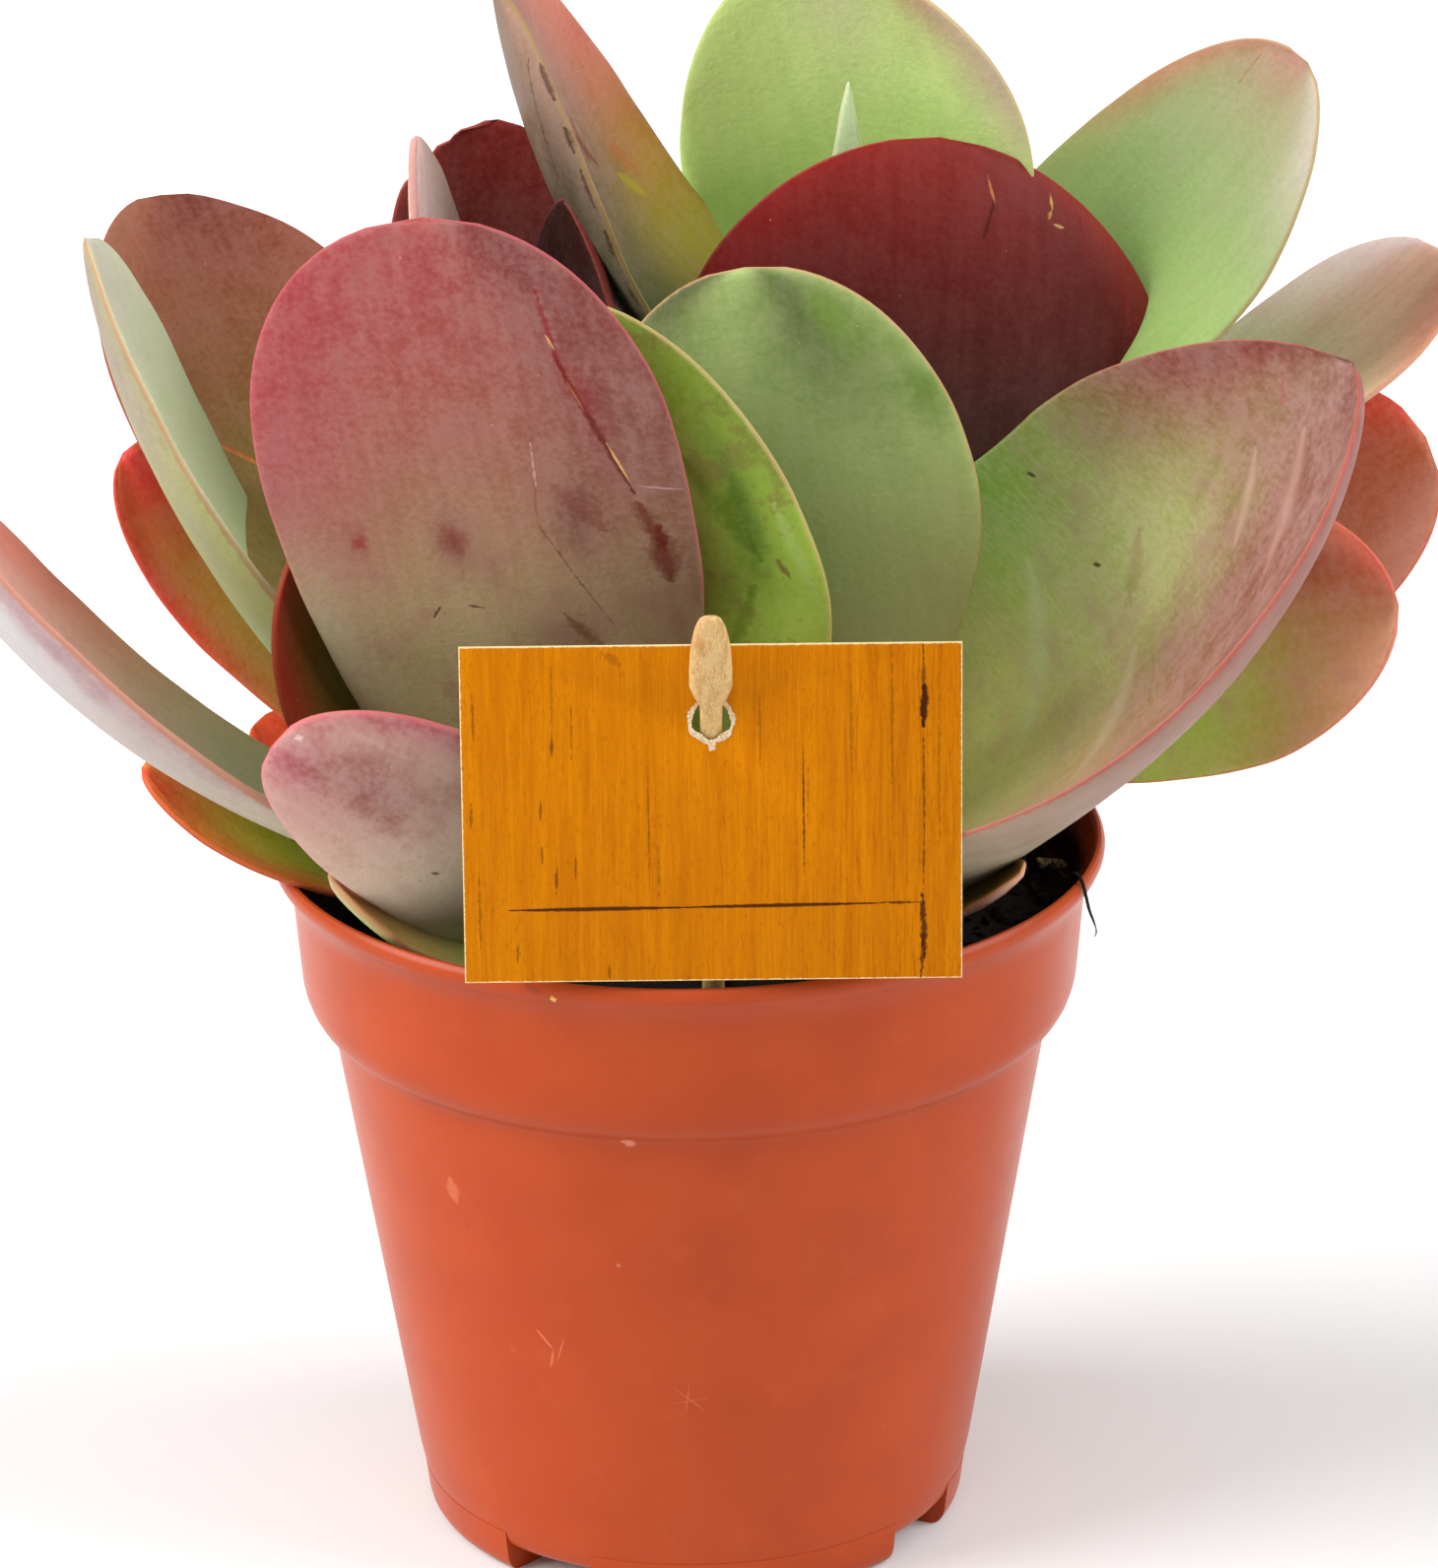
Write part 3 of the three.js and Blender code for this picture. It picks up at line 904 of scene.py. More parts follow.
@dataclass(frozen=True)
class Blade:
    """The form of a leaf, in millimetres and degrees.

    The last fields are the small unevenness that every leaf has: of its outline, as a share of the width, and of
    its margin and its faces, in millimetres.
    """

    base: Triple
    tip: Triple
    faces: Triple
    width: float
    thickness: float = 3.6
    base_thickness: float = 8.0
    base_width: float = 20.0
    peak: float = 0.6
    rise: float = 1.3
    blunt: float = 2.0
    arch: float = 7.0
    sweep: float = 0.0
    cup: float = 0.15
    base_cup: float = 0.3
    twist: float = 0.0
    nicks: tuple[Nick, ...] = ()
    thick_reach: float = 0.3
    cup_reach: float = 0.4
    rim_round: float = 0.6
    outline_wave: float = 0.008
    margin_wave: float = 0.35
    face_wave: float = 0.1

    def length(self) -> float:
        """The straight length from base to tip."""
        return float(np.linalg.norm(np.subtract(self.tip, self.base)))

    def _past(self, along: np.ndarray) -> np.ndarray:
        """How far each place is from the widest part, 0, to the tip, 1."""
        return np.clip((along - self.peak) / (1 - self.peak), 0, 1)

    def half_width(self, along: np.ndarray) -> np.ndarray:
        """Half the width at each share along the leaf."""
        low = np.sin(np.pi / 2 * np.clip(along / self.peak, 0, 1)) ** self.rise
        high = self.width * np.clip(1 - self._past(along) ** self.blunt, 0, 1) ** (1 / self.blunt)
        below = self.base_width + (self.width - self.base_width) * low
        return np.where(along <= self.peak, below, high) / 2

    def half_thickness(self, along: np.ndarray) -> np.ndarray:
        """Half the thickness at each share along the leaf."""
        swollen = np.exp(-((along / self.thick_reach) ** 2))
        thick = self.thickness + (self.base_thickness - self.thickness) * swollen
        return thick * np.clip(1 - self._past(along) ** 2, 0, 1) ** 0.3 / 2

    def _midrib(self, t: np.ndarray) -> tuple[np.ndarray, np.ndarray, np.ndarray]:
        """The curve that the leaf grows along.

        Args:
            t: The share along, as a column.

        Returns:
            Its points, the way across and the way out of the inner face.
        """
        base, tip = np.array(self.base), np.array(self.tip)
        chord = (tip - base) / np.linalg.norm(tip - base)
        up = np.array(self.faces) - chord * np.dot(self.faces, chord)
        up /= np.linalg.norm(up)
        side = np.cross(chord, up)
        control = (base + tip) / 2 - 2 * self.arch * up - 2 * self.sweep * side
        midrib = (1 - t) ** 2 * base + 2 * t * (1 - t) * control + t**2 * tip
        run = (1 - t) * (control - base) + t * (tip - control)
        run /= np.linalg.norm(run, axis=1, keepdims=True)
        normal = up - run * (run @ up)[:, None]
        normal /= np.linalg.norm(normal, axis=1, keepdims=True)
        twist = np.radians(self.twist) * (t - 0.5)
        normal = normal * np.cos(twist) + np.cross(run, normal) * np.sin(twist)
        return midrib, np.cross(normal, run), normal

    def place(self, turn: np.ndarray, along: np.ndarray, seed: float) -> tuple[np.ndarray, ...]:
        """Where the skin lies.

        Args:
            turn: The angle round the section, 0 at the right rim, a quarter turn on the inner face.
            along: The share of the length, from 0 at the base to 1 at the tip.
            seed: Moves the leaf's small unevenness.

        Returns:
            The points in millimetres, the share across, the distance across and the face (-1 to 1).
        """
        midrib, across, normal = self._midrib(along[:, None])
        share, rise = np.cos(turn), np.sin(turn)
        half = self.half_width(along) * (1 + self.outline_wave * ripple(9 * along + 2 * np.sign(share), seed))
        for nick in self.nicks:
            near = np.exp(-(((along - nick.along) * self.length() / nick.length) ** 2))
            half = half - nick.depth * near * np.clip(share * nick.side, 0, 1) ** 2
        half = np.maximum(half, 0.0)
        out = share * half
        face = np.sign(rise) * np.abs(rise) ** self.rim_round
        cup = self.cup + (self.base_cup - self.cup) * np.exp(-((along / self.cup_reach) ** 2))
        lift = face * self.half_thickness(along) + cup * out * out / np.maximum(half, 0.01)
        lift += self.margin_wave * share**2 * along * ripple(8 * along + 1.5 * share, seed + 1.0)
        lift += self.face_wave * ripple(14 * along + 6 * share, seed + 2.0)
        return midrib + across * out[:, None] + normal * lift[:, None], share, out, face

    def inset(self, share: np.ndarray, along: np.ndarray) -> np.ndarray:
        """How far each place lies inside the leaf's outline, in millimetres."""
        step = 0.004
        before = self.half_width(np.clip(along - step, 0, 1))
        after = self.half_width(np.clip(along + step, 0, 1))
        slope = (after - before) / (2 * step * self.length())
        return self.half_width(along) * (1 - np.abs(share)) / np.sqrt(1 + slope**2)


@dataclass(frozen=True)
class Leaf:
    """One leaf: its form, its two skins and its rim line."""

    name: str
    slot: Slot
    blade: Blade
    inner: Skin
    outer: Skin
    rim: str = "b0644a"
    rim_width: float = 0.6
    seed: float = 0.0
    sides: int = 64
    rings: int = 56
    crowded_ends: float = 0.55
    gloss: float = 0.07
    face_depth: float = 3.0
    face_blend: float = 0.8
    scar_soft: float = 0.9
    relief: float = 0.25

    def build(self) -> Thing:
        """Models the leaf from a ball and stores its own coordinates on it.

        Returns:
            The leaf's object.
        """
        Hands.clear()
        bpy.ops.mesh.primitive_uv_sphere_add(segments=self.sides, ring_count=self.rings, radius=1.0)
        made = Hands.name(f"{self.name}_blade")
        mesh = made.data
        ball = np.empty(len(mesh.vertices) * 3)
        mesh.vertices.foreach_get("co", ball)
        ball = ball.reshape(-1, 3)
        rise = np.arccos(np.clip(-ball[:, 2], -1, 1)) / np.pi
        along = self.crowded_ends * (1 - np.cos(np.pi * rise)) / 2 + (1 - self.crowded_ends) * rise
        turn = np.arctan2(ball[:, 1], ball[:, 0])
        spots, share, out, face = self.blade.place(turn, along, self.seed)
        ends = (rise < 1e-6) | (rise > 1 - 1e-6)
        share, out, face = (np.where(ends, 0.0, v) for v in (share, out, face))
        mesh.vertices.foreach_set("co", (spots * MM).ravel())
        self._store(mesh, "leaf_share", share, along, self.blade.inset(share, along))
        self._store(mesh, "leaf_place", out, along * self.blade.length(), face * self.face_depth)
        mesh.update()
        return Hands.settle(made)

    @staticmethod
    def _store(mesh: bpy.types.Mesh, name: str, *columns: np.ndarray) -> None:
        """Stores three numbers at each corner point as a vector attribute."""
        layer = mesh.attributes.new(name, "FLOAT_VECTOR", "POINT")
        layer.data.foreach_set("vector", np.stack(columns, 1).ravel())

    def _spot(self, place: Pair) -> Triple:
        """Turns a place given as shares into millimetres across and along."""
        half = float(self.blade.half_width(np.array([place[1]]))[0])
        return (place[0] * half, place[1] * self.blade.length(), 0.0)

    @staticmethod
    def _painted(bench: Bench, recipes: Recipes, skin: Skin, share: Socket, clouds: Socket) -> Socket:
        """Lays the washes of one face over its body colour."""
        colour: Any = skin.body
        for wash in (Wash(*row) for row in skin.washes):
            mask = bench.use(
                recipes.patch, Place=share, Centre=(wash.across, wash.along, 0.0),
                Reach=(wash.reach_across, wash.reach_along, 1.0), Ragged=wash.ragged, Cloud=clouds,
                Strength=wash.strength,
            )["Mask"]
            colour = bench.lay(mask, colour, wash.colour)
        return colour

    def dress(self, recipes: Recipes) -> Material:
        """Makes the leaf's finish.

        Args:
            recipes: The shared effects.

        Returns:
            The material.
        """
        shader = Shader(f"{self.name}_skin", gloss=self.gloss)
        b = shader.bench
        share, place = b.attribute("leaf_share"), b.attribute("leaf_place")
        inner = b.ease(b.split(place)[2], -self.face_blend, self.face_blend)
        clouds = b.use(recipes.mottle, Place=place, Seed=self.seed)
        cloud = b.blend((clouds["Broad"], 0.4), (clouds["Patch"], 0.6))
        faces = {Face.OUTER: self.outer, Face.INNER: self.inner}
        painted = [self._painted(b, recipes, skin, share, cloud) for skin in faces.values()]
        bloom = {
            label.capitalize(): b.ease(inner, 0.0, 1.0, getattr(self.outer, label), getattr(self.inner, label))
            for label in ("powder", "rubbed", "mottle", "streaks")
        }
        skin = b.use(
            recipes.leaf_skin, Colour=b.lay(inner, *painted), Place=place, Inset=b.split(share)[2], Seed=self.seed,
            Rim=self.rim, Rim_Width=self.rim_width, **bloom, **clouds,
        )
        surface = skin["Colour"], skin["Height"]
        for side in (Face.INNER, Face.OUTER):
            shown = inner if side is Face.INNER else b.rest(inner)
            marks = [Mark(*row) for row in faces[side].scars]
            surface = recipes.draw(b, marks, self._spot, place, clouds["Fine"], surface, self.scar_soft, shown)
        return shader.finish(surface[0], skin["Roughness"], surface[1], self.relief)


RED_SKIN = Skin("9a5a48", (("a84e48", 0, 1.05, 2, 0.35), ("7f8048", 0, 0, 2, 0.4)))
DARK_SKIN = Skin("6c3426", (("7c3028", 0, 1.05, 2, 0.3), ("4a3a1c", 0, 0.1, 2, 0.4)), powder=0.05)
GREEN_SKIN = Skin("8d9f5c", (("b08a72", 0, 1.08, 2, 0.16), ("74893f", 0, 0.2, 2, 0.4)), rubbed=0.15)
PALE_SKIN = Skin("bfb49c", (("c8aca4", 0, 1.05, 2, 0.35), ("a3a878", 0, 0.1, 2, 0.4)), rubbed=0.15)

LEFT_LEAVES = (
    Leaf("left_front", Slot.RED, rim="a8505a", rim_width=0.3, blade=Blade(
        (-19, -12, 113), (-40, -58, 247), (0.1, 0.9, 0.4), 69, base_width=24, peak=0.7, rise=0.9, blunt=2.2, arch=5,
        sweep=1, cup=-0.1, twist=-15,
    ), inner=RED_SKIN, outer=Skin("8a4c3a", powder=0.13, rubbed=0.5, mottle=0.34, washes=(
        ("94222c", -0.3, 1.05, 1.3, 0.34), ("9e2834", -1, 0.82, 0.5, 0.36), ("6a1618", 0.75, 0.96, 0.6, 0.32),
        ("963c44", -0.9, 0.62, 0.36, 0.2, 0.8, 0.9), ("64261c", 0.85, 0.68, 0.45, 0.22, 0.8, 0.9),
        ("a2805a", -0.1, 0.47, 1, 0.16, 0.7, 1), ("b8c884", 0, 0.13, 2, 0.36),
        ("b2b088", -1, 0.42, 0.3, 0.16, 0.8), ("6e281c", -0.17, 0.59, 0.09, 0.045, 0.9, 1.6),
        ("8a3428", -0.62, 0.6, 0.06, 0.025, 0.9, 1.4), ("701c1c", 0.62, 0.76, 0.09, 0.11, 0.85, 1.7),
        ("5e241a", 0.45, 0.62, 0.16, 0.07, 0.8, 1.9), ("66301e", 0.3, 0.45, 0.3, 0.05, 0.7, 2),
    ), scars=(
        ((0.66, 0.92), (0.56, 0.84), 0.9, "7c1c24", 1.4, 0.1, 0.7), ((0.56, 0.85), (0.56, 0.8), 0.8, "6c1a18", 0.8),
        ((0.55, 0.83), (0.74, 0.65), 1.1, "5e1c16", 0.9), ((0.55, 0.86), (0.56, 0.84), 0.4, "d0a468", 0.4),
        ((0.66, 0.72), (0.73, 0.665), 0.4, "d2aa66", 0.4), ((0.56, 0.8), (0.6, 0.76), 0.3, "b8814c", 0.4),
        ((0.3, 0.7), (0.25, 0.61), 0.3, "8a4c44", 0.6, 0.2, 0.6),
        ((0.25, 0.61), (0.54, 0.46), 0.3, "7a4436", 0.8, 0.2, 0.6),
        ((0.74, 0.64), (0.84, 0.57), 2.6, "5c1a10", 2.4, 0.1, 0.7),
        ((0.82, 0.6), (0.85, 0.52), 4, "5c1a10", 2.6, 0.1, 0.75),
        ((-0.2, 0.61), (-0.14, 0.57), 4, "7c3426", 2.2, 0.1, 0.45),
        ((0.36, 0.66), (0.56, 0.6), 3.6, "6e3226", 2.4, 0.1, 0.4),
        ((-0.64, 0.6), (-0.6, 0.59), 2.4, "8c3426", 1.4, 0.1, 0.6),
        ((0.56, 0.84), (0.62, 0.76), 3.6, "7c2420", 2, 0.1, 0.4),
        ((0.3, 0.48), (0.5, 0.42), 1.6, "6a3c24", 1.6, 0.1, 0.6), ((-0.36, 0.485), (-0.31, 0.5), 0.45, "4c2a1e", 0.6),
        ((-0.18, 0.5), (-0.1, 0.495), 0.4, "5a2c22", 0.6),
        ((0.76, 0.66), (0.98, 0.655), 0.25, "c49aa0", 0.3, -0.1, 0.7),
        ((0.3, 0.72), (0.28, 0.66), 0.3, "c0a29c", 0.9, -0.1, 0.6),
    ))),
    Leaf("left_centre", Slot.GREEN, rim="b59a68", rim_width=0.5, blade=Blade(
        (-10, -9, 117), (-16, -41, 228), (0.4, 0.9, 0.3), 70, peak=0.56, blunt=1.7, arch=6, sweep=5, twist=-8,
    # The dark olive body is the leaf's deep green and also painted shade on its left side, where the lighter washes
    # to the right don't reach.
    ), inner=GREEN_SKIN, outer=Skin("54640e", powder=0.05, rubbed=0.75, mottle=0.5, washes=(
        ("98bc3c", 0.85, 0.5, 0.35, 0.5), ("848c2e", 0.35, 0.7, 0.3, 0.4), ("bcd85c", 0.95, 0.35, 0.3, 0.3),
        ("4c6c10", 0.75, 0.72, 0.1, 0.12, 0.9, 2.2),
    ), scars=(
        ((0.82, 0.64), (0.86, 0.61), 0.9, "7c6a3c"), ((0.5, 0.8), (0.75, 0.64), 2.6, "48620e", 2.2, 0.1, 0.45),
        ((0.7, 0.6), (0.55, 0.48), 2, "4c640e", 2, 0.1, 0.4),
        ((0.9, 0.72), (0.96, 0.58), 1.6, "b4c878", 1.6, 0.1, 0.4),
    ))),
    Leaf("left_low_front", Slot.RED, rim="c46a6a", blade=Blade(
        (-19, -16, 113), (-66, -58, 160), (-0.2, 0.9, 0.4), 38, peak=0.54, rise=0.4, blunt=2.3, arch=10, sweep=7,
        base_cup=0,
    ), inner=RED_SKIN, outer=Skin("b59b83", powder=0.25, rubbed=0.45, washes=(
        ("a0304a", -0.1, 1.05, 1.4, 0.3), ("98243a", 1, 0.85, 0.3, 0.5), ("7c2c24", 0.15, 0.8, 0.5, 0.16, 0.9, 1.8),
        ("a8c08c", -0.3, 0.2, 1.6, 0.3),
    ), scars=(
        ((-0.31, 0.56), (-0.28, 0.545), 0.6, "3c2c1c", 0.3), ((0.5, 0.975), (0.55, 0.965), 0.9, "d8b0a8", 0.5, -0.6),
    ))),
    Leaf("left_under", Slot.GREEN, rim="a86c4c", rim_width=0.4, blade=Blade(
        (-24, -22, 108), (-58, -43, 131), (0, -0.4, 0.9), 24, base_thickness=5, base_width=12, arch=2,
    ), inner=Skin("a48a3c", washes=(("9c6030", 0.3, 1, 1, 0.3), ("8c9c44", 0, 0.3, 2, 0.35))), outer=GREEN_SKIN),
    Leaf("left_rim", Slot.RED, rim="b04424", rim_width=0.8, blade=Blade(
        (-27, -6, 117), (-90, -17, 141), (0.1, -0.4, 0.9), 25, arch=5, sweep=2,
    ), inner=Skin("bace1e", washes=(
        ("ed4d20", 0.6, 1, 1.6, 0.28), ("d67105", 1, 0.6, 0.35, 0.6), ("336105", 0, 0.3, 2, 0.3),
    )), outer=Skin("a44824", washes=(("6c4810", 0, 0.3, 2, 0.4),))),
    Leaf("left_long", Slot.PALE, rim="b8704e", blade=Blade(
        (-29, -10, 121), (-129, -38, 206), (0, 0, 1), 52, arch=17, sweep=3, cup=0.33, base_cup=0.12, twist=-6,
    ), inner=Skin("e0a8a0", washes=(("e28071", -0.9, 0.8, 0.3, 0.5), ("a8b48c", 0, 0.3, 2, 0.3))),
        outer=Skin("a8908b", powder=0.16, rubbed=0.2, washes=(
        ("b7b5b9", 0.6, 0.9, 0.6, 0.5), ("9d9779", 0.6, 0.25, 1.4, 0.3), ("954f5c", -0.9, 0.9, 0.35, 0.4, 0.9, 2),
        ("9e7d81", 0.95, 0.75, 0.16, 0.3, 0.9, 2.4),
    ))),
    Leaf("left_dark", Slot.DARK, rim="86301c", rim_width=0.5, blade=Blade(
        (-27, -11, 124), (-63, -31, 183), (0.5, -0.7, 0.5), 37, sweep=2, cup=0.1, twist=5,
    ), inner=Skin("4c440a", powder=0.02, rubbed=0.1, washes=(
        ("8c2c14", 0.95, 0.8, 0.4, 0.5), ("6c1a0a", 0.2, 1.05, 1.2, 0.25),
    )), outer=DARK_SKIN),
    Leaf("left_upright", Slot.PALE, rim="a87c58", rim_width=0.4, blade=Blade(
        (-34, 2, 124), (-97, 0, 227), (0.9, 0.1, 0.3), 41, base_width=15, blunt=1.8, arch=12, sweep=3, cup=0.32,
        base_cup=0.4, twist=-21,
    ), inner=Skin("dbedbf", powder=0.14, rubbed=0.1, mottle=0.18, washes=(
        ("b3b19e", -0.2, 1, 1.4, 0.3), ("bdcf99", -0.9, 0.5, 0.6, 0.3), ("bdd08e", 0.2, 0.3, 2, 0.3),
    )), outer=Skin("a1ac65", powder=0.14, rubbed=0.2, washes=(
        ("817566", 0.4, 0.95, 1.2, 0.35), ("a8c071", 0.4, 0.3, 1.6, 0.35), ("8b8579", 0.7, 0.8, 0.25, 0.1, 0.7, 2.4),
        ("96a379", 0.7, 0.6, 0.2, 0.08, 0.7, 2.4),
    ))),
    Leaf("left_red", Slot.RED, rim="b04030", blade=Blade(
        (-29, 3, 122), (-94, 18, 184), (0.2, -0.9, 0.4), 32, peak=0.63, arch=8, sweep=-2,
    ), inner=Skin("b58a30", washes=(
        ("ed342d", 0, 1.02, 1.4, 0.26), ("ce3418", 1, 0.8, 0.35, 0.6), ("a29833", -0.5, 0.55, 1, 0.2),
        ("8c8108", 0, 0.2, 2, 0.3),
    )), outer=RED_SKIN),
    Leaf("left_low_back", Slot.RED, rim="c04c2c", blade=Blade(
        (-27, 3, 118), (-74, 30, 131), (0.3, -0.5, 0.8), 24, arch=2,
    ), inner=Skin("be3d0f", powder=0.04, rubbed=0.1, washes=(("8a4e08", 0, 0.2, 2, 0.3),)), outer=RED_SKIN),
    Leaf("left_rear", Slot.DARK, rim="8c4034", rim_width=0.4, blade=Blade(
        (-29, 6, 139), (-89, 58, 217), (0.5, -0.7, 0.5), 59, arch=1, sweep=6, cup=0.2, twist=15,
        nicks=(Nick(0.975, -1, 1.6, 5),),
    ), inner=Skin("94482e", powder=0.09, rubbed=0.4, mottle=0.45, washes=(
        ("641606", -0.4, 1.05, 1.2, 0.3), ("9a5a3e", 0.9, 0.95, 0.5, 0.3), ("82722c", 0.4, 0.4, 2, 0.34),
    )), outer=DARK_SKIN),
    Leaf("left_back", Slot.DARK, rim="94403a", blade=Blade(
        (-29, 5, 161), (-30, 22, 240), (0, -1, 0.3), 34, blunt=2.7, arch=5, sweep=3,
        nicks=(
            Nick(0.92, 1, 2.2, 3.4), Nick(0.955, 1, 2.4, 1), Nick(0.978, 1, 2.6, 0.9), Nick(0.89, 1, 1.4, 1),
            Nick(0.99, 1, 5, 0.8), Nick(0.992, -1, 2, 0.7),
        ),
    ), inner=Skin("5c120c", powder=0.04, rubbed=0.4, mottle=0.5, washes=(
        # The near-black band across the middle of the inner face is painted shade, darkening the leaf towards its
        # lower part.
        ("8c302c", 1, 1, 0.4, 0.25), ("74140e", -0.3, 1, 1.2, 0.2), ("1e0604", 0, 0.5, 2, 0.3),
    )), outer=DARK_SKIN),
    Leaf("left_inner", Slot.DARK, rim="8c3c34", rim_width=0.5, blade=Blade(
        (-23.5, 1, 170), (-19, 3, 232), (-0.8, -0.5, 0.3), 30, base_width=18, blunt=1.5, arch=6,
    ), inner=Skin("280806", powder=0.02, washes=(("2c1010", 0.8, 0.9, 0.5, 0.4),)), outer=DARK_SKIN),
    Leaf("left_bud", Slot.PALE, rim="b46a62", rim_width=0.5, blade=Blade(
        (-33, 1, 184), (-43, 2, 243), (0.9, -0.4, 0.1), 17, base_thickness=5, base_width=11, blunt=1.5, arch=1,
    ), inner=Skin("b5a49a", washes=(("cdaca7", 0.5, 0.95, 0.8, 0.4), ("b8988e", -0.6, 0.7, 0.6, 0.4))),
        outer=PALE_SKIN),
)

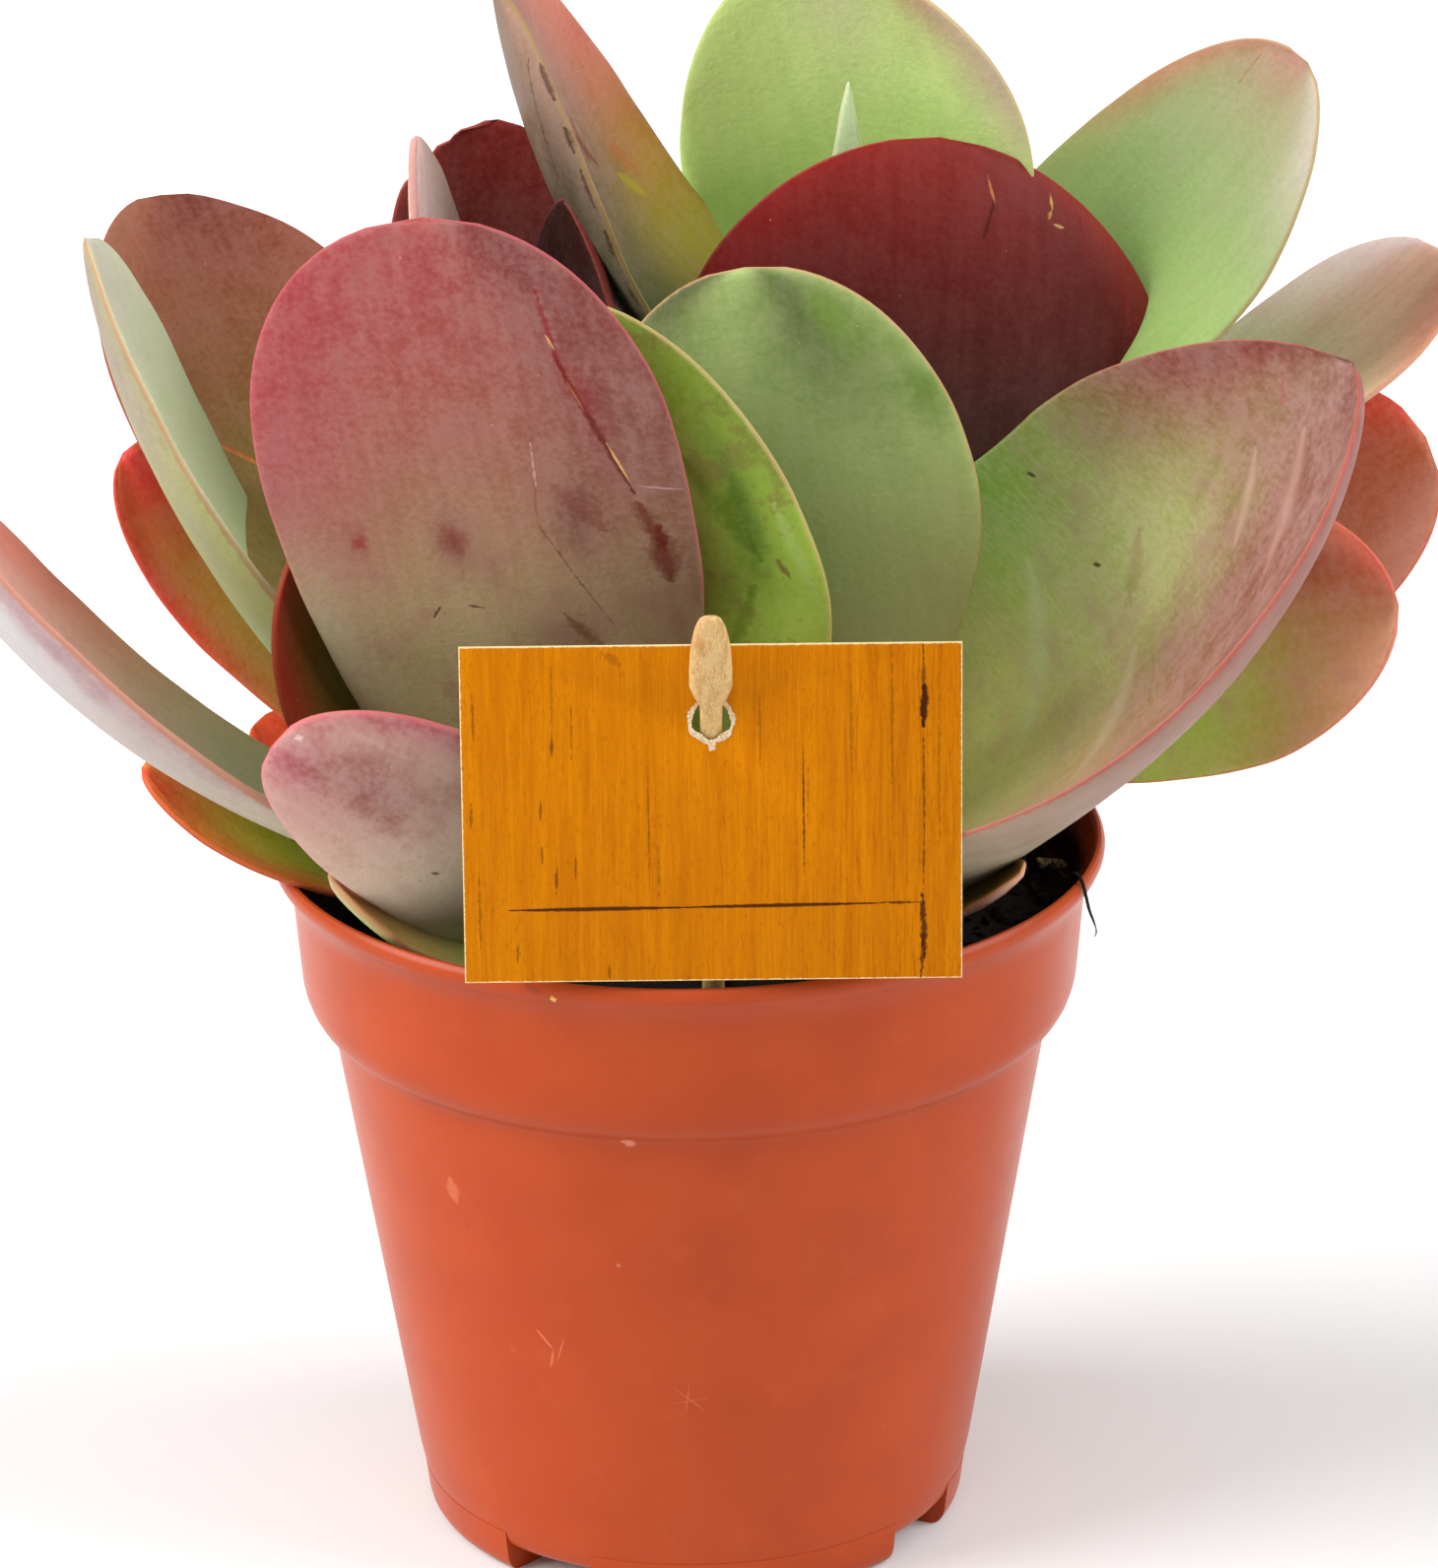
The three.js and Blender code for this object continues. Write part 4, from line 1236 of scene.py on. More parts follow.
RIGHT_LEAVES = (
    Leaf("right_small", Slot.GREEN, rim="c87a56", rim_width=0.4, blade=Blade(
        (34, -2, 112), (54, -37, 128), (-0.3, -0.2, 0.9), 17, thickness=2.4, base_thickness=4, base_width=9, arch=3,
        sweep=-2,
    ), inner=Skin("a07c34", powder=0.02, rubbed=0.05, washes=(("8a8c2c", 0, 0.3, 2, 0.4),)),
        outer=Skin("c9a896", rubbed=0.05, washes=(("c08c78", 0, 1, 1, 0.3),))),
    Leaf("right_front", Slot.RED, rim="b4564a", rim_width=0.35, blade=Blade(
        (35, 2, 113), (107, -30, 213), (-0.6, -0.3, 0.7), 88, base_thickness=11, base_width=29, peak=0.54, rise=0.25,
        arch=6, sweep=-13, cup=0.53, base_cup=1.1, twist=30,
    ), inner=Skin("7a3a2e", powder=0.17, rubbed=0.35, mottle=0.48, washes=(
        ("642c24", 0, 1.08, 2, 0.3), ("74402e", -0.95, 0.7, 0.5, 0.5), ("6c8420", 1, 0.5, 0.75, 0.4),
        ("a8b468", 0.5, 0.55, 0.4, 0.3, 0.8, 1.6), ("5ca018", 1, 0.3, 0.5, 0.25), ("c8d66e", 0.3, 0.16, 0.8, 0.26),
        ("bc8c68", -0.55, 0.32, 0.5, 0.2), ("7c2a20", 0.9, 0.93, 0.5, 0.2),
    ), scars=(
        ((0.86, 0.545), (0.88, 0.535), 0.7, "33301a", 0.2), ((0.53, 0.525), (0.55, 0.515), 0.7, "33301a", 0.2),
        ((0.62, 0.96), (0.3, 0.9), 0.5, "935850", 2.2, 0.2), ((0.1, 0.9), (-0.2, 0.74), 2.6, "c0988c", 2.6, 0, 0.3),
        ((0.3, 0.84), (0.1, 0.72), 1.6, "bc9c8c", 2, 0, 0.35),
        ((0.7, 0.42), (0.2, 0.26), 3.6, "bccc98", 3, 0, 0.35),
        ((0.2, 0.5), (-0.2, 0.36), 3.2, "c0b090", 3, 0, 0.3),
        ((0.5, 0.62), (0.35, 0.52), 2.4, "7c5a34", 2.4, 0.1, 0.3),
    )), outer=Skin("845444", rubbed=0.1, washes=(
        ("7c3c32", -0.9, 0.95, 0.6, 0.3), ("a09c80", 0, 0.3, 2, 0.3), ("8a5c50", -0.6, 0.5, 0.3, 0.2, 0.8, 2),
    ))),
    Leaf("right_centre", Slot.GREEN, rim="b88a66", rim_width=0.4, blade=Blade(
        (25, 4, 125), (10, -24, 228), (0.1, 0.9, 0.3), 63, peak=0.61, arch=8, sweep=1,
    ), inner=GREEN_SKIN, outer=Skin("9cb268", powder=0.07, rubbed=0.12, mottle=0.32, washes=(
        # The dark green wash at the top left corner of the outer face is painted shade.
        ("3a4816", -0.9, 1, 0.6, 0.3), ("52642e", 0.5, 0.95, 0.6, 0.25),
        ("66822e", 0.66, 0.9, 0.16, 0.08, 0.9, 2), ("608028", 0.9, 0.8, 0.12, 0.12, 0.9, 2),
        ("b8c894", 0, 0.16, 2, 0.26),
    ))),
    Leaf("right_low", Slot.RED, rim="bc5a48", blade=Blade(
        (36, 10, 129), (118, -6, 163), (-0.1, -0.95, 0.3), 46, peak=0.64, rise=1.5, arch=9, sweep=5,
    ), inner=Skin("aa5f39", powder=0.14, rubbed=0.4, washes=(
        ("eba37e", -0.9, 0.98, 0.7, 0.22), ("ea5c45", 0.9, 1, 0.6, 0.2), ("9ec438", -0.3, 0.45, 1.3, 0.34),
        ("984018", 0.5, 0.8, 0.5, 0.2),
    )), outer=RED_SKIN),
    Leaf("right_outer", Slot.RED, rim="bc4c3c", blade=Blade(
        (36, 18, 132), (126, 34, 179), (-0.2, -0.9, 0.3), 47, peak=0.62, blunt=2.3,
    ), inner=Skin("a94a18", powder=0.11, washes=(
        ("b9745c", -0.9, 0.95, 0.6, 0.3), ("d73f21", 0.9, 0.98, 0.7, 0.25), ("7e772a", 0, 0.4, 2, 0.3),
    )), outer=RED_SKIN),
    Leaf("right_back", Slot.DARK, rim="a84a42", rim_width=0.4, blade=Blade(
        (33, 13, 141), (43, 26, 235), (-0.2, 0.9, 0.3), 89, peak=0.55, arch=9, cup=0.13, base_cup=0.2, twist=6,
    ), inner=DARK_SKIN, outer=Skin("550a05", powder=0.02, mottle=0.24, streaks=0.3, washes=(
        ("791713", -0.3, 1.06, 1.6, 0.24), ("80241d", 1, 0.85, 0.2, 0.5), ("341912", 0.1, 0.45, 2, 0.3),
        ("750907", -1, 0.9, 0.3, 0.3),
    ), scars=(
        ((0.37, 0.94), (0.33, 0.89), 0.45, "a8743c", 0.6), ((0.34, 0.9), (0.21, 0.83), 0.4, "3c120c", 0.8),
        ((0.8, 0.92), (0.7, 0.89), 0.45, "b08a50", 0.6), ((0.7, 0.89), (0.62, 0.87), 0.6, "a07a44", 0.8),
        ((0.64, 0.865), (0.7, 0.86), 0.4, "b08a50", 0.5), ((0.86, 0.88), (0.74, 0.8), 0.5, "6a1a1c", 1.2, 0.1),
        ((0.9, 0.78), (0.84, 0.68), 0.6, "74202a", 1.2, 0.1),
    ))),
    Leaf("right_far", Slot.PALE, rim="c07e62", rim_width=0.5, blade=Blade(
        (37, 22, 160), (130, 50, 207), (-0.4, -0.2, 0.9), 40, peak=0.67, blunt=2.3, sweep=-3, twist=20,
    ), inner=Skin("c7957d", powder=0.14, streaks=0.4, washes=(
        ("d9c1bd", 0.9, 0.95, 0.5, 0.4), ("b4644c", -0.9, 0.95, 0.5, 0.3), ("a9b784", 0.2, 0.6, 2, 0.24),
    )), outer=PALE_SKIN),
    Leaf("top_left", Slot.GREEN, rim="8a7040", rim_width=0.3, blade=Blade(
        (25, 22, 177), (-30, 19, 264), (1, -0.1, 0.2), 64, base_width=26, rise=0.6, arch=11.5, sweep=-3, cup=0.31,
        twist=13,
    ), inner=Skin("8e665c", washes=(
        ("cc6c50", -0.95, 1, 0.4, 0.3), ("b45c50", -0.95, 0.72, 0.3, 0.2), ("dc8c30", -0.9, 0.5, 0.4, 0.2),
        ("34500c", 0.4, 0.34, 1.6, 0.3), ("a89c28", -0.8, 0.36, 0.5, 0.2), ("2c4008", 1, 0.4, 0.7, 0.3),
        ("3c2c0c", 0.2, 0.6, 0.7, 0.12, 0.8),
    ), scars=(
        ((-0.34, 0.7), (-0.42, 0.61), 1.3, "6e3024", 1, 0.2, 0.6),
        ((-0.42, 0.72), (-0.36, 0.63), 0.7, "6e3024", 0.8, 0.2, 0.5),
        ((-0.62, 0.62), (-0.7, 0.54), 2.6, "c0562c", 2, 0.1, 0.3),
        ((-0.55, 0.57), (-0.64, 0.51), 1.8, "b8ac28", 2, 0.1, 0.45),
    )), outer=Skin("6e5a48", powder=0.06, washes=(
        # On the outer face the narrow dark band is painted shade in a crease, and the broad dark green wash is
        # painted shade over the lower part.
        ("38281a", 0.75, 0.7, 0.2, 0.5, 0.8), ("1c2a0a", 0.6, 0.4, 1.6, 0.38), ("8a6a58", 0.9, 1, 0.5, 0.2),
    ), scars=(
        ((0.985, 0.93), (0.985, 0.88), 0.7, "4a2c2a", 0.8), ((0.985, 0.84), (0.985, 0.8), 0.8, "3e2a1c", 0.8),
        ((0.985, 0.77), (0.98, 0.7), 0.6, "4a3222", 0.9), ((0.985, 0.66), (0.98, 0.6), 0.7, "3e2a1c", 0.8),
        ((0.98, 0.55), (0.98, 0.5), 0.6, "3e2a1c", 0.8), ((0.86, 0.93), (0.72, 0.72), 0.6, "54382a", 1.2, 0.2, 0.7),
    ))),
    Leaf("top_right", Slot.GREEN, rim="b09068", rim_width=0.5, blade=Blade(
        (34, 23, 178), (105, 37, 244), (-0.5, -0.7, 0.6), 51, arch=11, sweep=2, twist=-14,
    ), inner=Skin("7d8b58", powder=0.06, rubbed=0.12, washes=(
        ("985a58", 0.5, 1.08, 1.6, 0.2), ("a49c8c", -0.9, 1, 0.5, 0.24), ("985a40", 1, 0.78, 0.24, 0.34),
        ("88aa58", 0, 0.5, 2, 0.25),
    ), scars=(
        ((0.78, 0.955), (0.74, 0.95), 0.8, "b86a3c", 0.8), ((0.57, 0.97), (0.54, 0.965), 0.5, "b86a3c", 0.8),
        ((0.66, 0.95), (0.45, 0.89), 0.35, "8c7a54", 0.8),
    )), outer=GREEN_SKIN),
    Leaf("top_green", Slot.GREEN, rim="b8a070", rim_width=0.4, blade=Blade(
        (30, 28, 181), (22, 45, 262), (-0.4, -0.9, 0), 65, peak=0.57, arch=12, sweep=-1, base_cup=0.15, twist=-15,
    ), inner=Skin("bad47d", powder=0.03, rubbed=0.1, mottle=0.26, washes=(
        ("ba7762", -1, 1, 0.4, 0.25), ("b49d89", -1, 0.7, 0.3, 0.3), ("88ba4b", 0, 0.35, 2, 0.3),
        ("b5bd86", -0.1, 0.95, 0.5, 0.2),
    )), outer=GREEN_SKIN),
    Leaf("right_bud", Slot.PALE, rim="c4cca0", rim_width=0.3, blade=Blade(
        (28, 28, 202), (28, 32, 243), (-0.4, 0.9, 0), 9.5, thickness=2.8, base_thickness=5, base_width=8, peak=0.35,
        blunt=1.15, arch=2, sweep=-1,
    ), inner=PALE_SKIN, outer=Skin("a8bb88", powder=0.05, rubbed=0.05, mottle=0.12, washes=(
        ("9eb473", 0.9, 0.6, 0.4, 0.6),
    ))),
)

BACK_LEAVES = (
    Leaf("back_low_left", Slot.RED, Blade((-22, 2, 116), (-12, 70, 138), (0, -0.6, 1), 42), RED_SKIN, RED_SKIN),
    Leaf("back_low_right", Slot.GREEN, Blade((32, 16, 117), (70, 58, 144), (-0.5, -0.6, 1), 42),
         GREEN_SKIN, GREEN_SKIN),
    Leaf("back_left", Slot.DARK, Blade((-24, 3, 126), (-40, 64, 188), (0, -1, 1), 54), DARK_SKIN, RED_SKIN),
    Leaf("back_centre", Slot.GREEN, Blade((24, 16, 122), (10, 73, 173), (0.2, -1, 1), 56), GREEN_SKIN, GREEN_SKIN),
    Leaf("back_right", Slot.RED, Blade((32, 20, 142), (56, 70, 194), (-0.3, -1, 1), 50), RED_SKIN, RED_SKIN),
    Leaf("back_tall", Slot.GREEN, Blade((28, 22, 164), (20, 62, 216), (0, -1, 0.6), 52), GREEN_SKIN, GREEN_SKIN),
)


# ---------------- stems


@dataclass(frozen=True)
class StemFinish:
    """A green skin that turns corky at its joints and near the peat, with heights in millimetres."""

    green: str = "7c9450"
    pale: str = "9aa871"
    joint: str = "8b7350"
    cork: str = "7d6544"
    gloss: float = 0.35
    cork_full: float = 116.0
    cork_gone: float = 150.0
    relief: float = 0.35


@dataclass
class Stem:
    """A fleshy upright stem with swollen leaf joints; its path is x, y, z and radius in millimetres."""

    name: str
    path: tuple[tuple[float, float, float, float], ...]
    sides: int = 40
    levels: int = 46
    swell: float = 0.35
    joint_gap: float = 9.0
    rounded_end: float = 2.0
    depth_share: float = 0.97
    finish: StemFinish = StemFinish()

    def sections(self) -> list[tuple[Triple, Pair]]:
        """The level ovals that the stem runs through, in millimetres."""
        points = np.array(self.path)
        top = points[-1, 2]
        found = []
        for z in np.linspace(points[0, 2], top, self.levels):
            x, y, r = (float(np.interp(z, points[:, 2], points[:, k])) for k in (0, 1, 3))
            r *= 1 - 0.5 * max(0.0, (z - top + self.rounded_end) / self.rounded_end)
            r += self.swell * math.cos(2 * math.pi * z / self.joint_gap) ** 3
            found.append(((x, y, float(z)), (r, r * self.depth_share)))
        return found

    def build(self) -> Thing:
        """Models the stem."""
        return Hands.settle(Hands.drawn(self.name, self.sections(), self.sides), 60)

    def dress(self, recipes: Recipes) -> Material:
        """Makes the stem's green and corky skin."""
        look = self.finish
        shader = Shader(f"{self.name}_skin", gloss=look.gloss)
        b = shader.bench
        place = b.object_mm()
        clouds = b.use(recipes.mottle, Place=place, Seed=3.0)
        height = b.split(place)[2]
        wave = b.calc("COSINE", b.times(height, 2 * math.pi / self.joint_gap))
        joint = b.blend((wave, 0.5), (clouds["Fine"], 0.5))
        colour = b.lay(b.ease(clouds["Patch"], 0.4, 0.65), look.green, look.pale)
        colour = b.lay(b.ease(joint, 0.55, 0.8), colour, look.joint)
        lower = b.rest(b.ease(height, look.cork_full, look.cork_gone))
        colour = b.lay(b.times(lower, clouds["Fine"]), colour, look.cork)
        relief = b.scaled(clouds["Fine"], 0.8, b.ease(joint, 0.5, 0.9))
        return shader.finish(colour, b.ease(clouds["Fine"], 0.3, 0.7, 0.45, 0.65), relief, look.relief)


# ---------------- pot


@dataclass(frozen=True)
class PlasticFinish:
    """Terracotta-coloured plastic, dark inside above the peat with painted shade and peat dirt, with sizes in
    millimetres.

    The inside is all that lies within a cone: its radius at height 0 and how much it widens for each millimetre.
    """

    colours: Inks = ("9e3a13", "a43e14", "a84a20")
    gloss: float = 0.12
    coat: float = 0.12
    coat_roughness: float = 0.3
    patch_strength: float = 0.25
    cone_radius: float = 32.2
    cone_widening: float = 0.3
    cone_soft: float = 0.3
    shade_and_soil_mark: str = "140a05"
    shade_and_soil_from: Pair = (100.0, 104.0)
    shade_and_soil_to: Pair = (122.5, 118.5)
    shade_and_soil_ragged: float = 5.0
    shade_and_soil_strength: float = 0.93
    dust: str = "e6a184"
    dust_strength: float = 0.4
    mark_soft: float = 0.7
    mark_sunk: float = 0.3
    mark_waver: float = 0.9
    grain: float = 0.25
    roughness: float = 0.34
    roughness_sway: float = 0.12
    relief: float = 0.08


@dataclass
class Pot:
    """An injection-moulded nursery pot on four feet.

    Outlines are radius and height in millimetres. Feet are placed by degrees from the front. A scuff is its start
    and end (degrees from the front, height), width, colour and strength.
    """

    outside: tuple[Pair, ...] = (
        (0, 4.5), (20, 4.5), (44.2, 4.5), (45.4, 5), (46.1, 5.8), (46.5, 6.8), (47.2, 9.4), (47.8, 12.2),
        (54.3, 51.9), (60.5, 89.6), (60.8, 91.2), (61.3, 92), (62.8, 92.9), (63.8, 93.9), (64.6, 95.3),
        (65.15, 96.9), (65.5, 98.6), (66.1, 105.8), (66.7, 113), (67, 114.6), (67.5, 116), (68.1, 117.1),
        (68.9, 118.2), (69.6, 119), (70, 119.9), (70.1, 120.7), (69.9, 121.5), (69.4, 122),
    )
    inside: tuple[Pair, ...] = (
        (68.9, 122.05), (68.5, 121.7), (68.1, 120.8), (67.6, 119.2), (66.7, 117.7), (66, 116.4), (65.6, 114.9),
        (65.4, 113), (64.2, 99), (63.7, 97.3), (62.9, 95.9), (61.2, 94.4), (59.5, 92.6), (53, 52.5), (46.5, 12.4),
        (45, 7.4), (43.6, 5.8), (20, 5.8), (0, 5.8),
    )
    foot: tuple[Pair, ...] = (
        (34.6, 5.2), (34.6, 0.8), (34.8, 0.25), (35.4, 0), (43.6, 0), (44.7, 0.3), (45.4, 0.9), (46, 1.9),
        (46.3, 3), (46.9, 8), (46.2, 8), (44.4, 5.2), (34.6, 5.2),
    )
    scuffs: tuple[tuple[Pair, Pair, float, str, float], ...] = (
        ((-28.5, 52.3), (-25.6, 49), 0.35, "cf7656", 0.6), ((-25.6, 49), (-26.6, 45.2), 0.35, "cf7656", 0.5),
        ((-23.4, 51.5), (-25, 47), 0.25, "cf7656", 0.4), ((-3.5, 43.7), (1.8, 39.3), 0.25, "c66c4c", 0.35),
        ((-0.9, 44.5), (-1.6, 39), 0.25, "c66c4c", 0.35), ((-4.2, 40.6), (2.6, 42), 0.22, "c66c4c", 0.3),
        ((-43, 77.5), (-42.4, 73.4), 2, "cf7a5a", 0.3), ((-40.7, 69.9), (-40.5, 69.3), 0.7, "8a3a20", 0.9),
        ((-10.6, 91.6), (-8.6, 91.3), 1.2, "d68a70", 0.6), ((-34.4, 47.6), (-34, 46.6), 1.2, "b04a2a", 0.6),
        ((-22, 121.3), (-19.8, 120.2), 0.9, "8a3820", 0.8), ((-18.6, 119.3), (-17.9, 119.4), 0.9, "dca84e", 0.9),
        ((120, 80), (128, 50), 0.5, "de8566", 0.4), ((200, 70), (188, 64), 0.5, "de8566", 0.5),
        ((-120, 60), (-112, 30), 0.4, "de8566", 0.4),
    )
    foot_span: float = 69.0
    foot_first: float = -9.0
    foot_steps: int = 24
    feet: int = 4
    holes: int = 8
    hole_radius: float = 4.0
    hole_ring: float = 30.0
    hole_height: float = 5.0
    drill_length: float = 20.0
    steps: int = 160
    round_radius: float = 57.0
    finish: PlasticFinish = PlasticFinish()

    def build(self) -> Thing:
        """Models the wall, floor, feet and drain holes."""
        pot = Hands.spun("pot_shell", (*self.outside, *self.inside), self.steps)
        for i in range(self.feet):
            middle = self.foot_first + 360.0 / self.feet * i
            foot = Hands.spun("foot", self.foot, self.foot_steps, self.foot_span, middle - self.foot_span / 2)
            with Hands.editing(foot, "EDGE", "DESELECT"):
                bpy.ops.mesh.select_non_manifold()
                bpy.ops.mesh.edge_face_add()
                bpy.ops.mesh.select_all(action="SELECT")
                bpy.ops.mesh.normals_make_consistent(inside=False)
            Hands.work(pot, foot, Tooling.JOIN)
        for i in range(self.holes):
            turn = 2 * math.pi * (i + 0.5) / self.holes
            spot = (self.hole_ring * math.sin(turn), -self.hole_ring * math.cos(turn), self.hole_height)
            Hands.bore(pot, spot, self.hole_radius, self.drill_length, 32)
        return Hands.settle(pot, 35)

    def dress(self, recipes: Recipes) -> Material:
        """Makes the plastic, with painted shade and peat dirt on its inside above the peat, scuffs and scratches."""
        look = self.finish
        shader = Shader("terracotta_plastic", look.gloss, look.coat, look.coat_roughness)
        b = shader.bench
        place = b.object_mm()
        x, y, z = b.split(place)
        round_it = b.calc("ARCTAN2", x, b.times(y, -1.0))
        unrolled = b.join(b.times(round_it, self.round_radius), z, 0.0)
        clouds = b.use(recipes.mottle, Place=place, Seed=8.0)
        deep, plain, warm = look.colours
        colour = b.lay(b.ease(clouds["Broad"], 0.3, 0.7), deep, plain)
        colour = b.lay(b.times(b.ease(clouds["Patch"], 0.55, 0.75), look.patch_strength), colour, warm)
        radius = b.calc("SQRT", b.calc("ADD", b.times(x, x), b.times(y, y)))
        # Painted shade and peat dirt: the inner wall from the peat up to just under the lip is laid over with near
        # black.
        past_cone = b.calc("SUBTRACT", radius, b.scaled(z, look.cone_widening, look.cone_radius))
        within = b.times(b.ease(past_cone, look.cone_soft, -look.cone_soft), b.ease(z, *look.shade_and_soil_from))
        ragged = b.scaled(clouds["Fine"], look.shade_and_soil_ragged, z)
        shade_and_soil = b.times(within, b.ease(ragged, *look.shade_and_soil_to, 0.0, look.shade_and_soil_strength))
        colour = b.lay(shade_and_soil, colour, look.shade_and_soil_mark)
        dust = b.use(recipes.flecks, Place=place, Scale=0.16, Share=0.16, Size=0.1)["Mask"]
        colour = b.lay(b.times(dust, look.dust_strength), colour, look.dust)
        marks = [
            Mark(start, end, width, tone, look.mark_waver * width, look.mark_sunk, strength)
            for start, end, width, tone, strength in self.scuffs
        ]
        surface = colour, b.times(clouds["Fine"], look.grain)
        surface = recipes.draw(b, marks, self._unroll, unrolled, clouds["Fine"], surface, look.mark_soft)
        rough = b.sway(clouds["Patch"], look.roughness_sway, look.roughness)
        return shader.finish(surface[0], rough, surface[1], look.relief)

    def _unroll(self, spot: Pair) -> Triple:
        """Turns degrees from the front and a height into the unrolled wall."""
        return (math.radians(spot[0]) * self.round_radius, spot[1], 0.0)


# ---------------- soil


@dataclass(frozen=True)
class PeatFinish:
    """A matt peat, fibre or root finish: its name, main colour and lighter bits."""

    name: str
    tone: str
    pale: str
    fibrous: bool = False
    ground: str = "0a0604"
    bits_strength: float = 0.6
    gloss: float = 0.25
    relief: float = 0.8


PEAT = PeatFinish("peat", "1c120b", "5a4632")
FIBRE = PeatFinish("fibre", "3a281a", "6a5844", fibrous=True)


@dataclass(frozen=True)
class Root:
    """A root or thread: the points it runs through, its radius at each in millimetres, and its colour."""

    name: str
    points: tuple[Triple, ...]
    radii: tuple[float, ...]
    colour: str


@dataclass
class Soil:
    """The peat plug with its crumbs, fibres, a bark chip and a stray root, in millimetres."""

    side: tuple[Pair, ...] = (
        (0, 6.1), (43.2, 6.1), (44.6, 7.6), (46.1, 12.6), (59.1, 92.9), (62.5, 96.2), (63.8, 99.2), (64.6, 108.0),
    )
    top_radius: float = 64.2
    top_rim: float = 110.0
    top_middle: float = 113.2
    rings: int = 52
    steps: int = 180
    random_seed: int = 21
    crumbs: int = 900
    crumb_ring: float = 63.0
    crumb_least: float = 0.25
    crumb_most: float = 1.7
    crumb_turn: float = 6.28
    fibres: int = 170
    fibre_ring: float = 60.0
    fibre_wall: float = 63.5
    fibre_points: int = 7
    roots: tuple[Root, ...] = (
        Root(
            "stray_root",
            ((58.5, 16, 112.6), (60.6, 10, 113.2), (62.2, 1, 114.0), (63.0, -9, 116.4), (63.5, -17, 119.8),
             (64.0, -22.4, 122.4), (64.7, -26.0, 122.7), (65.4, -27.3, 120.4), (66.0, -27.0, 117.8),
             (66.8, -25.4, 115.2), (67.3, -24.0, 113.4)),
            (0.16, 0.2, 0.22, 0.26, 0.3, 0.32, 0.32, 0.3, 0.26, 0.2, 0.12),
            "2a1a12",
        ),
        Root(
            "root_tip",
            ((67.25, -24.1, 113.5), (67.4, -23.9, 112.9), (67.35, -24.1, 112.4), (67.1, -24.4, 111.9)),
            (0.12, 0.17, 0.16, 0.08),
            "b9ada0",
        ),
        Root(
            "pale_thread",
            ((55.8, 18, 113.2), (56.5, 13.5, 113.5), (57.0, 9, 113.4), (57.5, 3.6, 112.2)),
            (0.1, 0.12, 0.12, 0.08),
            "a89c90",
        ),
    )
    root_sides: int = 8
    chip_spot: Triple = (61.6, 5.6, 113.1)
    chip_turn: Triple = (0.12, 0.2, 0.25)
    chip_size: Triple = (5.4, 2.6, 1.0)
    chip_colour: str = "a89566"

    def level(self, x: float, y: float) -> float:
        """The mean height of the peat at a place, in millimetres."""
        share = min(1.0, math.hypot(x, y) / self.top_radius)
        return self.top_rim + (self.top_middle - self.top_rim) * (1 - share**2)

    @staticmethod
    def _lump(x: float, y: float) -> float:
        """How far the peat's top stands up or sinks at a place, in millimetres."""
        broad, cross, fine, finer = (
            float(ripple(np.array([along_x * x + along_y * y]), seed)[0])
            for along_x, along_y, seed in ((0.35, 0.21, 1.0), (-0.17, 0.41, 2.0), (1.9, -1.3, 3.0), (1.1, 2.3, 4.0))
        )
        return 0.7 * (0.9 * broad + 0.9 * cross + 0.45 * fine * finer) - 0.5

    @staticmethod
    def _somewhere(draw: random.Random, ring: float) -> Pair:
        """A random place within a ring."""
        far, turn = ring * math.sqrt(draw.random()), draw.uniform(0, 2 * math.pi)
        return far * math.cos(turn), far * math.sin(turn)

    def build(self) -> Thing:
        """Models the plug and roughens its top."""
        radii = [self.top_radius * (1 - i / self.rings) for i in range(self.rings + 1)]
        top = [(radius, self.level(radius, 0)) for radius in radii]
        plug = Hands.spun("peat_plug", (*self.side, *top), self.steps)
        for vertex in plug.data.vertices:
            x, y, z = (c / MM for c in vertex.co)
            if z > self.top_rim - 1.5 and math.hypot(x, y) < self.top_radius - 0.6:
                vertex.co.z += self._lump(x, y) * MM
        return Hands.settle(plug)

    def scatter(self) -> Thing:
        """Models the loose crumbs of peat from one small lump."""
        draw = random.Random(self.random_seed)
        Hands.clear()
        bpy.ops.mesh.primitive_ico_sphere_add(subdivisions=1, radius=1.0)
        lump = Hands.name("lump")
        heap = bmesh.new()
        for _ in range(self.crumbs):
            x, y = self._somewhere(draw, self.crumb_ring)
            size = draw.uniform(0.35, 1.0) ** 2 * self.crumb_most + self.crumb_least
            place = Matrix.Translation(Vector((x, y, self.level(x, y) + 0.1 * size)) * MM)
            turn = draw.uniform(0, self.crumb_turn)
            spin = Matrix.Rotation(turn, 4, Vector((draw.random(), draw.random(), 1)).normalized())
            wide, high = draw.uniform(0.5, 1), draw.uniform(0.4, 0.8)
            form = Matrix.Diagonal((size * MM, size * wide * MM, size * high * MM, 1))
            before = len(heap.verts)
            heap.from_mesh(lump.data)
            heap.verts.ensure_lookup_table()
            fresh = heap.verts[before:]
            for vertex in fresh:
                vertex.co *= draw.uniform(0.75, 1.2)
            bmesh.ops.transform(heap, matrix=place @ spin @ form, verts=fresh)
        heap.to_mesh(lump.data)
        heap.free()
        made = Hands.settle(lump, 30)
        made.name = made.data.name = "peat_crumbs"
        return made

